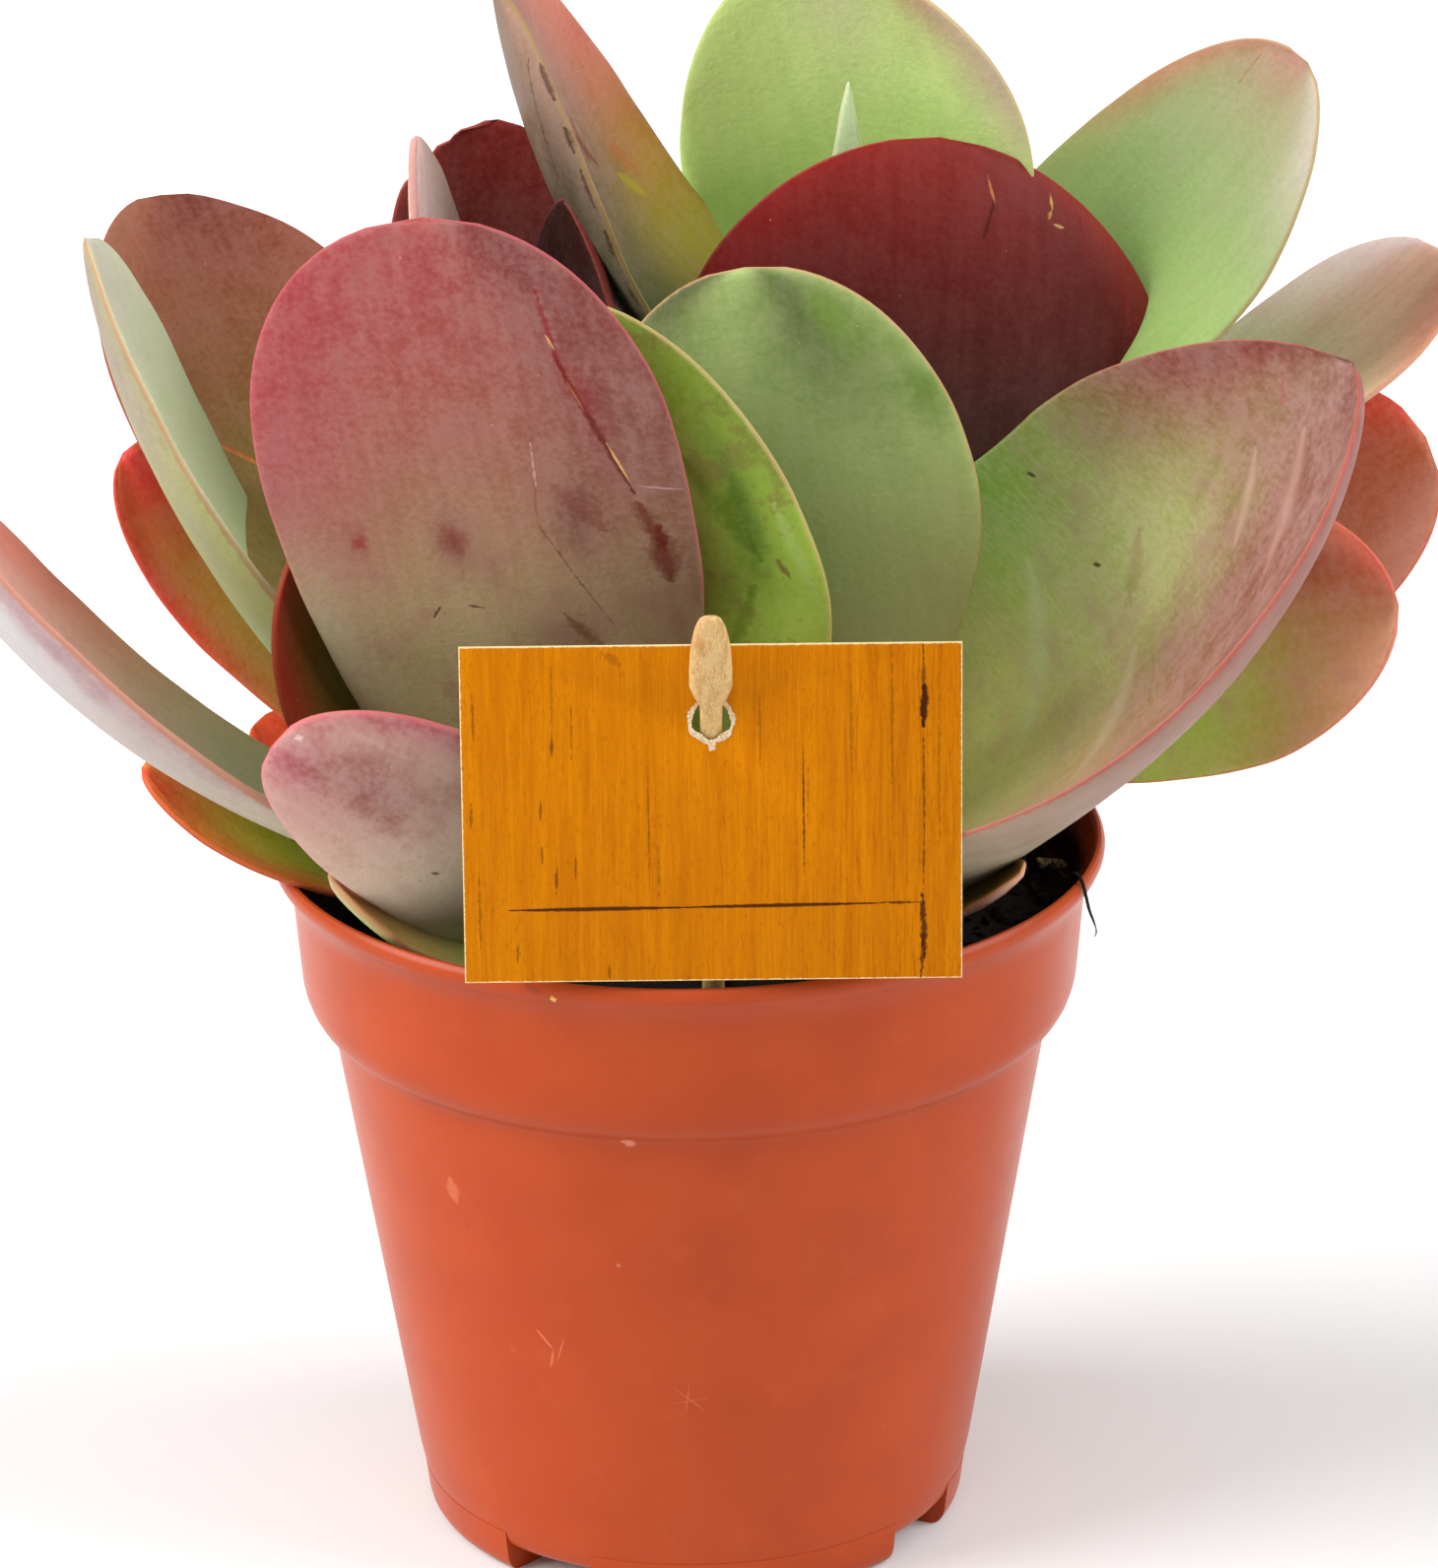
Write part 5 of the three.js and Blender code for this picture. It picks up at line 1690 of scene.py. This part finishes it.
    def threads(self) -> Thing:
        """Models the fine fibres that lie in the peat."""
        draw = random.Random(self.random_seed + 1)
        heap = bmesh.new()
        single = bpy.data.meshes.new("fibre")
        shares = [k / (self.fibre_points - 1) for k in range(self.fibre_points)]
        for _ in range(self.fibres):
            x, y = self._somewhere(draw, self.fibre_ring)
            way, bend, long = draw.uniform(0, 2 * math.pi), draw.uniform(-0.9, 0.9), draw.uniform(3, 10)
            points = []
            for share in shares:
                aim = way + bend * share
                px, py = x + math.cos(aim) * long * share, y + math.sin(aim) * long * share
                pull = max(1.0, math.hypot(px, py) / self.fibre_wall)
                px, py = px / pull, py / pull
                arch = 1.3 * math.sin(math.pi * share) * draw.uniform(0.3, 1)
                points.append((px, py, self.level(px, py) + 0.3 + arch))
            thick = draw.uniform(0.07, 0.17)
            piece = Hands.strand(points, [thick * (1 - 0.6 * share) for share in shares], 3)
            piece.to_mesh(single)
            heap.from_mesh(single)
            piece.free()
        bpy.data.meshes.remove(single)
        return Hands.settle(Hands.stand("peat_fibres", heap))

    def strays(self) -> list[tuple[Thing, str]]:
        """Models the root over the rim with its pale tip, the pale thread and the bark chip, with their colours."""
        made = []
        for root in self.roots:
            tube = Hands.strand(*self._smooth(root), self.root_sides)
            made.append((Hands.settle(Hands.stand(root.name, tube)), root.colour))
        return [*made, (self.chip(), self.chip_colour)]

    def chip(self) -> Thing:
        """Models the bark chip."""
        Hands.clear()
        bpy.ops.mesh.primitive_cube_add(size=MM, location=Vector(self.chip_spot) * MM, rotation=self.chip_turn)
        chip = Hands.name("bark_chip")
        with Hands.editing(chip):
            bpy.ops.mesh.subdivide(number_cuts=5)
        long, wide, high = self.chip_size
        for vertex in chip.data.vertices:
            x, y, z = vertex.co / MM
            taper = 1 - 0.9 * abs(x) ** 1.6 - 0.25 * x
            across = y * wide * taper + 0.5 * math.sin(5 * x)
            up = z * high * taper + 0.3 * math.sin(9 * y + 4 * x)
            vertex.co = Vector((x * long, across, up)) * MM
        Hands.apply(chip, "SUBSURF", levels=2, render_levels=2)
        return Hands.settle(chip)

    @staticmethod
    def _smooth(root: Root, steps: int = 5) -> tuple[list[Triple], list[float]]:
        """Runs a smooth curve through a root's points and radii.

        Args:
            root: The root.
            steps: How many points the curve gets for each of the root's.

        Returns:
            The curve's points and its radius at each.
        """
        rows = [np.array((*p, r)) for p, r in zip(root.points, root.radii)]
        rows = [2 * rows[0] - rows[1], *rows, 2 * rows[-1] - rows[-2]]
        dense = []
        for a, b, c, d in zip(rows, rows[1:], rows[2:], rows[3:]):
            for t in (k / steps for k in range(steps)):
                square, cube = 2 * a - 5 * b + 4 * c - d, 3 * b - a - 3 * c + d
                dense.append(0.5 * (2 * b + (c - a) * t + square * t**2 + cube * t**3))
        dense.append(rows[-2])
        return [tuple(row[:3]) for row in dense], [float(row[3]) for row in dense]

    @staticmethod
    def dress(recipes: Recipes, look: PeatFinish) -> Material:
        """Makes a peat, fibre or root finish.

        Args:
            recipes: The shared effects.
            look: The finish.

        Returns:
            The material.
        """
        shader = Shader(look.name, gloss=look.gloss)
        b = shader.bench
        place = b.object_mm()
        coarse, fine = b.noise(place, 0.5, 4.0, 0.7), b.noise(place, 3.0, 3.0, 0.7)
        colour = b.lay(b.ease(coarse, 0.35, 0.65), look.ground, look.tone)
        bits = b.use(recipes.flecks, Place=place, Scale=0.9, Share=0.12, Size=0.28)["Mask"]
        colour = b.lay(b.times(bits, look.bits_strength), colour, look.pale)
        if look.fibrous:
            colour = b.lay(b.ease(fine, 0.55, 0.72), colour, look.pale)
        return shader.finish(colour, b.ease(fine, 0.3, 0.7, 0.7, 0.95), b.scaled(fine, 0.6, coarse), look.relief)


# ---------------- card and peg


@dataclass(frozen=True)
class PrintFinish:
    """Printed wood grain on card: its inks, its cut edge and its bare back, with sizes in millimetres."""

    inks: Inks = ("ae6200", "ba6d00", "c57b06")
    dark_ink: str = "9b5200"
    pore_ink: str = "914a00"
    line_ink: str = "3e1c06"
    cut: str = "dcc48e"
    backs: Inks = ("e2dccd", "ebe6da")
    gloss: float = 0.04
    grain_length: float = 26.0
    darker_to: float = 36.0
    line_soft: float = 0.6
    cut_edge: Pair = (0.02, -0.18)
    cut_ragged: float = -0.5
    back_depth: Pair = (0.12, 0.02)
    relief: float = 0.02


@dataclass(frozen=True)
class TornPaper:
    """The ragged paper fibres round a punched hole, in millimetres and half turns."""

    steps: int = 96
    random_seed: int = 5
    outward: Triple = (0.18, 0.32, 0.22)
    inward: Triple = (0.1, 0.55, 0.16)
    flap: float = 1.1
    flap_turn: Pair = (1.46, 1.56)
    proud: Pair = (0.08, 0.06)
    backs: tuple[float, float, float, float] = (0.03, 0.05, 0.16, 0.2)
    colours: Inks = ("b08a58", "dccdb2")
    gloss: float = 0.2
    roughness: float = 0.9
    relief: float = 0.15

    def ring(self, hole: float, front: float, middle: float) -> Shape:
        """Draws the ring of fibres, in metres.

        Args:
            hole: The hole's radius, in millimetres.
            front: Where the card's front lies along Y, in millimetres.
            middle: The height of the hole's middle, in millimetres.

        Returns:
            The ring.
        """
        draw = random.Random(self.random_seed)
        ring = bmesh.new()
        loops: list[Ring] = [[] for _ in self.backs]
        for k in range(self.steps):
            turn = 2 * math.pi * k / self.steps
            low = 0.5 + 0.5 * max(0.0, -math.sin(turn))
            least, reach, loose = self.outward
            outer = hole + least + reach * low * (0.5 + 0.5 * math.sin(7 * turn + 1)) + draw.uniform(0, loose)
            least, reach, loose = self.inward
            inner = hole - least - reach * low * (0.5 + 0.5 * math.sin(5 * turn)) - draw.uniform(0, loose)
            if self.flap_turn[0] * math.pi < turn < self.flap_turn[1] * math.pi:
                outer += self.flap
            face = front - self.proud[0] - draw.uniform(0, self.proud[1])
            for loop, r, back in zip(loops, (inner, outer, outer, inner), self.backs):
                spot = Vector((r * math.cos(turn), face + back, middle + r * math.sin(turn)))
                loop.append(ring.verts.new(spot * MM))
        for one, two in zip(loops, loops[1:] + loops[:1]):
            Hands.strip(ring, one, two)
        bmesh.ops.recalc_face_normals(ring, faces=ring.faces)
        return ring

    def dress(self) -> Material:
        """Makes the fluffy paper."""
        shader = Shader("torn_paper", gloss=self.gloss)
        b = shader.bench
        fluff = b.noise(b.object_mm(), 3.0, 4.0, 0.75)
        colour = b.lay(b.ease(fluff, 0.35, 0.65), *self.colours)
        return shader.finish(colour, self.roughness, fluff, self.relief)


@dataclass
class Card:
    """A thin printed card with plain wood grain, hung by a punched hole.

    Sizes are in millimetres and the lean in degrees. A streak is its start and end on the sheet, measured from the
    sheet's middle, then its width, waver and strength.
    """

    width: float = 79.0
    height: float = 55.5
    thickness: float = 0.4
    hole_radius: float = 3.4
    hole_below_top: float = 12.4
    bevel: float = 0.06
    centre: Triple = (3.8, -68.2, 151.7)
    lean: float = 4.0
    torn: TornPaper = TornPaper()
    finish: PrintFinish = PrintFinish()
    streaks: tuple[tuple[Pair, Pair, float, float, float], ...] = (
        ((33.3, 27.7), (33.5, 17), 0.4, 1, 0.7), ((33.6, 21), (33.4, 14), 0.85, 1.3, 1),
        ((33.4, 15), (33.5, -4), 0.25, 0.8, 0.6), ((33.5, -1), (33.3, -13), 0.25, 0.8, 0.6),
        ((33.2, -13.5), (33.5, -24), 0.7, 1.3, 0.9), ((33.3, -20), (33, -27.7), 0.45, 1.1, 0.8),
        ((14.4, 11.6), (14.5, -9.6), 0.22, 0.5, 0.8), ((15.2, 9), (15.1, -2), 0.15, 0.5, 0.4),
        ((-25, 26), (-25.1, 9.5), 0.22, 0.8, 0.35), ((-25.1, 13), (-25.2, 10), 0.35, 0.5, 0.6),
        ((-22, 18), (-22.1, 9), 0.2, 0.8, 0.4), ((-10.1, 11.6), (-10, -13), 0.18, 0.6, 0.45),
        ((-37.6, 21), (-37.4, 12), 0.3, 0.9, 0.5), ((-27, -5.2), (-26.9, -8.2), 0.35, 0.6, 0.5),
        ((-21.6, -7), (-21.7, -10.5), 0.3, 0.7, 0.5), ((-8.6, -5), (-8.5, -14), 0.2, 0.8, 0.35),
        ((-17, 26.5), (-14, 24.5), 1, 1.8, 0.3), ((22, 25), (22.1, 6), 0.3, 1, 0.3),
        ((28.5, 26), (28.4, 4), 0.35, 1.2, 0.35), ((-37, -10), (-36.9, -22), 0.35, 1, 0.45),
        ((7.6, 20), (7.7, 8), 0.3, 1, 0.35), ((35.8, 24), (35.9, -6), 0.3, 1, 0.3),
        ((-32.3, -15.7), (-4, -15.5), 0.5, 0.3, 0.95), ((-6, -15.5), (27, -15.1), 0.45, 0.3, 0.95),
        ((25, -15.1), (33, -15), 0.3, 0.9, 0.8), ((-27, 2.4), (-27.1, -1), 0.35, 0.7, 0.55),
        ((-38, 2), (-38.1, -2), 0.35, 0.8, 0.5), ((-31, -21.5), (-31.1, -24.5), 0.3, 0.7, 0.5),
        ((-16.6, -25), (-16.5, -27.5), 0.35, 0.7, 0.5), ((-24.6, -8.5), (-24.8, -13), 0.4, 0.8, 0.6),
    )

    def hole_height(self) -> float:
        """How far the hole's middle is above the sheet's middle, in millimetres."""
        return self.height / 2 - self.hole_below_top

    def build(self) -> Thing:
        """Models the sheet, punches the hole and leans it back."""
        Hands.clear()
        bpy.ops.mesh.primitive_cube_add(size=1.0)
        card = Hands.name("plain_card")
        card.scale = (self.width * MM, self.thickness * MM, self.height * MM)
        bpy.ops.object.transform_apply(location=False, rotation=False, scale=True)
        Hands.bore(card, (0, 0, self.hole_height()), self.hole_radius, 10.0, 48, tilt=90.0)
        Hands.apply(
            card, "BEVEL", width=self.bevel * MM, segments=2, limit_method="ANGLE", angle_limit=math.radians(50)
        )
        self._mark(card)
        return self._hang(card)

    def torn_ring(self) -> Thing:
        """Models the torn paper round the hole."""
        ring = self.torn.ring(self.hole_radius, -self.thickness / 2, self.hole_height())
        return self._hang(Hands.stand("torn_paper", ring))

    @staticmethod
    def _mark(card: Thing) -> None:
        """Stores each corner point's place on the sheet, in millimetres."""
        layer = card.data.attributes.new("sheet_place", "FLOAT_VECTOR", "POINT")
        for vertex, item in zip(card.data.vertices, layer.data):
            item.vector = (vertex.co.x / MM, vertex.co.z / MM, vertex.co.y / MM)

    def _hang(self, made: Thing) -> Thing:
        """Leans a piece of the card back and moves it to its place."""
        made.rotation_euler = (-math.radians(self.lean), 0, 0)
        made.location = Vector(self.centre) * MM
        return Hands.settle(made, 30)

    def dress(self, recipes: Recipes) -> Material:
        """Makes the printed wood grain, cream at its cut edges and bare on its back."""
        look = self.finish
        shader = Shader("wood_grain_card", gloss=look.gloss)
        b = shader.bench
        place = b.attribute("sheet_place")
        x, y, depth = b.split(place)
        wood = b.use(recipes.fibre, Place=place, Fineness=1.0, Length=look.grain_length)
        grain = wood["Grain"]
        plain, warm, pale = look.inks
        colour = b.lay(b.ease(wood["Bands"], 0.32, 0.68), plain, warm)
        colour = b.lay(b.times(b.ease(grain, 0.45, 0.75), 0.6), colour, pale)
        right = b.ease(x, 0.0, look.darker_to, 0.35, 0.9)
        colour = b.lay(b.times(b.ease(grain, 0.52, 0.3), right), colour, look.dark_ink)
        colour = b.lay(b.times(wood["Pores"], 0.45), colour, look.pore_ink)
        marks = [
            Mark(start, end, width, look.line_ink, waver, 0.0, strength)
            for start, end, width, waver, strength in self.streaks
        ]
        torn_ink = b.noise(place, 1.1, 3.0, 0.7)
        colour, relief = recipes.draw(
            b, marks, lambda spot: (*spot, 0.0), place, torn_ink, (colour, grain), look.line_soft
        )
        edge = b.calc(
            "MINIMUM",
            b.calc("SUBTRACT", self.width / 2, b.calc("ABSOLUTE", x)),
            b.calc("SUBTRACT", self.height / 2, b.calc("ABSOLUTE", y)),
        )
        torn = b.scaled(b.noise(place, 1.6, 3.0, 0.7), look.cut_ragged, edge)
        colour = b.lay(b.ease(torn, *look.cut_edge), colour, look.cut)
        back = b.ease(depth, *(self.thickness / 2 - inside for inside in look.back_depth))
        bare = b.lay(b.ease(b.noise(place, 0.8, 4.0, 0.7), 0.3, 0.7), *look.backs)
        colour = b.lay(back, colour, bare)
        return shader.finish(colour, b.ease(grain, 0.3, 0.7, 0.5, 0.6), relief, look.relief)


@dataclass(frozen=True)
class BambooFinish:
    """Split bamboo with a dirty crown and a scorch, with heights in millimetres."""

    plain: Inks = ("cda96e", "bb9153")
    pale: str = "e0c99c"
    dark: str = "94642e"
    crown: str = "b98f5c"
    crown_heights: Pair = (182.0, 186.0)
    scorch: str = "a86a30"
    scorch_spot: Triple = (2.0, 181.6, 0.0)
    scorch_reach: Triple = (1.3, 2.4, 1.0)
    scorch_strength: float = 0.6
    gloss: float = 0.35
    relief: float = 0.12


@dataclass
class Peg:
    """A split bamboo peg with a rounded head and a notched neck; its rows are height, width and thickness."""

    x: float = 3.8
    y: float = -67.3
    y_slope: float = -0.3
    y_from: float = 167.4
    rows: tuple[Triple, ...] = (
        (86, 0.8, 0.8), (87, 1.2, 1.0), (92, 3.6, 2.2), (110, 3.6, 2.2), (130, 3.6, 2.2), (150, 3.6, 2.2),
        (160, 3.6, 2.2), (164, 3.5, 1.4), (169.5, 3.5, 1.4), (170.5, 4.4, 1.6), (171.5, 5.4, 1.8), (173.5, 6.8, 2.4),
        (176.5, 6.8, 2.8), (180, 6.4, 3), (182.5, 5.7, 2.9), (184.5, 4.8, 2.6), (185.6, 3.9, 2.1), (186.2, 3.1, 1.6),
        (186.5, 2.1, 1.0),
    )
    sides: int = 28
    finish: BambooFinish = BambooFinish()

    def build(self) -> Thing:
        """Models the peg from its point up to its head."""
        sections = [
            ((self.x, self.y + self.y_slope * (z - self.y_from), z), (w / 2, t / 2)) for z, w, t in self.rows
        ]
        return Hands.settle(Hands.drawn("bamboo_peg", sections, self.sides), 50)

    def dress(self, recipes: Recipes) -> Material:
        """Makes the pale bamboo with its fibres, dirty head and scorched end."""
        look = self.finish
        shader = Shader("split_bamboo", gloss=look.gloss)
        b = shader.bench
        x, y, z = b.split(b.object_mm())
        wood = b.use(recipes.fibre, Place=b.join(x, z, y), Fineness=2.4, Length=14.0)
        grain = wood["Grain"]
        colour = b.lay(b.ease(wood["Bands"], 0.35, 0.65), *look.plain)
        colour = b.lay(b.times(b.ease(grain, 0.5, 0.68), 0.85), colour, look.pale)
        colour = b.lay(b.times(b.ease(grain, 0.46, 0.3), 0.8), colour, look.dark)
        speck = b.noise(b.object_mm(), 2.0, 3.0, 0.7)
        crown = b.times(b.ease(z, *look.crown_heights), b.ease(speck, 0.4, 0.65))
        colour = b.lay(crown, colour, look.crown)
        scorch = b.use(
            recipes.patch, Place=b.join(x, z, 0.0), Centre=look.scorch_spot, Reach=look.scorch_reach, Ragged=2.0,
            Cloud=speck, Strength=look.scorch_strength,
        )["Mask"]
        colour = b.lay(scorch, colour, look.scorch)
        relief = b.scaled(wood["Pores"], -0.4, grain)
        return shader.finish(colour, b.ease(grain, 0.3, 0.7, 0.5, 0.65), relief, look.relief)


# ---------------- studio


@dataclass(frozen=True)
class SoftBox:
    """A soft light: where it hangs round the plant and above it, its spread in degrees and its strength."""

    name: str
    round_it: float
    up: float
    spread: float
    strength: float

    def hang(self) -> None:
        """Hangs the light, turned to the plant."""
        light = bpy.data.lights.new(self.name, "SUN")
        light.angle, light.energy = math.radians(self.spread), self.strength * math.pi
        box = bpy.data.objects.new(self.name, light)
        bpy.context.collection.objects.link(box)
        turn, rise = math.radians(self.round_it), math.radians(self.up)
        spot = Vector((math.sin(turn) * math.cos(rise), -math.cos(turn) * math.cos(rise), math.sin(rise)))
        box.location = spot
        box.rotation_euler = spot.to_track_quat("Z", "Y").to_euler()


@dataclass
class Studio:
    """The floor, the soft lights and the camera, whose place is in millimetres."""

    lens: float = 164.2
    sensor: float = 36.0
    eye: Triple = (0.0, -1119.6, 562.3)
    ahead: Triple = (0.00438, 0.93296, -0.35995)
    roll: float = -0.0094
    sight: Pair = (0.05, 30.0)
    floor_size: float = 8.0
    floor_colours: Inks = ("dadada", "dddddd")
    sky: float = 0.3
    boxes: tuple[SoftBox, ...] = (
        SoftBox("left_box", -78.0, 32.0, 44.0, 1.45),
        SoftBox("right_box", 82.0, 32.0, 44.0, 0.85),
        SoftBox("front_fill", 4.0, 40.0, 60.0, 0.2),
        SoftBox("top_box", 0.0, 82.0, 60.0, 0.25),
    )

    def floor(self) -> None:
        """Lays the pale floor."""
        Hands.clear()
        bpy.ops.mesh.primitive_plane_add(size=self.floor_size)
        made = Hands.name("studio_floor")
        shader = Shader("pale_floor", gloss=0.1)
        b = shader.bench
        soft = b.noise(b.object_mm(), 0.004, 2.0)
        colour = b.lay(soft, *self.floor_colours)
        made.data.materials.append(shader.finish(colour, 0.9, soft, 0.0))

    def lights(self) -> None:
        """Hangs the soft boxes and sets the white room."""
        world = bpy.data.worlds.new("white_room")
        world.use_nodes = True
        room = world.node_tree.nodes["Background"]
        room.inputs["Color"].default_value = (1.0, 1.0, 1.0, 1.0)
        room.inputs["Strength"].default_value = self.sky
        bpy.context.scene.world = world
        for box in self.boxes:
            box.hang()

    def camera(self) -> None:
        """Sets the camera up."""
        data = bpy.data.cameras.new("front_camera")
        data.lens, data.sensor_width = self.lens, self.sensor
        data.clip_start, data.clip_end = self.sight
        ahead = Vector(self.ahead).normalized()
        right = ahead.cross(Vector((0, 0, 1))).normalized()
        up = right.cross(ahead)
        c, s = math.cos(self.roll), math.sin(self.roll)
        right, up = right * c + up * s, up * c - right * s
        eye = bpy.data.objects.new("front_camera", data)
        bpy.context.collection.objects.link(eye)
        turned = Matrix((right, up, -ahead)).transposed().to_4x4()
        eye.matrix_world = Matrix.Translation(Vector(self.eye) * MM) @ turned
        scene = bpy.context.scene
        scene.camera = eye
        light_paths = scene.cycles
        light_paths.max_bounces, light_paths.diffuse_bounces, light_paths.glossy_bounces = 5, 3, 2
        scene.view_settings.view_transform, scene.view_settings.look = "Standard", "None"


STEMS = (
    Stem("left_stem_skin", (
        (-20, -6, 92, 8), (-23, -5, 125, 8), (-27, -2, 155, 6.5), (-30, 0, 182, 4.5), (-32, 1, 194, 2.5),
    )),
    Stem("right_stem_skin", (
        (27, 8, 92, 9), (29, 11, 125, 9), (30, 17, 160, 7.5), (29, 24, 186, 5.5), (28, 28, 206, 3),
    )),
)


def main() -> None:
    """Builds the plant from its roots up and sets the studio round it."""
    logging.basicConfig(level=logging.INFO, format="%(name)s: %(message)s")
    recipes = Recipes()
    pot = Pot()
    seat(pot.build(), pot.dress(recipes), Slot.POT, "pot")
    soil = Soil()
    peat = soil.dress(recipes, PEAT)
    seat(soil.build(), peat, Slot.PEAT, "soil")
    seat(soil.scatter(), peat, Slot.PEAT)
    seat(soil.threads(), soil.dress(recipes, FIBRE), Slot.PEAT)
    for piece, tone in soil.strays():
        seat(piece, soil.dress(recipes, PeatFinish(f"{piece.name}_skin", tone, tone)), Slot.PEAT)
    for stem in STEMS:
        seat(stem.build(), stem.dress(recipes), Slot.STEM, stem.name.removesuffix("_skin"))
    for number, row in enumerate((*LEFT_LEAVES, *RIGHT_LEAVES, *BACK_LEAVES), 1):
        leaf = replace(row, seed=number)
        seat(leaf.build(), leaf.dress(recipes), leaf.slot, f"{leaf.name}_leaf")
    card = Card()
    seat(card.build(), card.dress(recipes), Slot.CARD, "card")
    seat(card.torn_ring(), card.torn.dress(), Slot.CARD)
    peg = Peg()
    seat(peg.build(), peg.dress(recipes), Slot.PEG, "peg")
    studio = Studio()
    studio.floor()
    studio.lights()
    studio.camera()


if __name__ == "__main__":
    main()
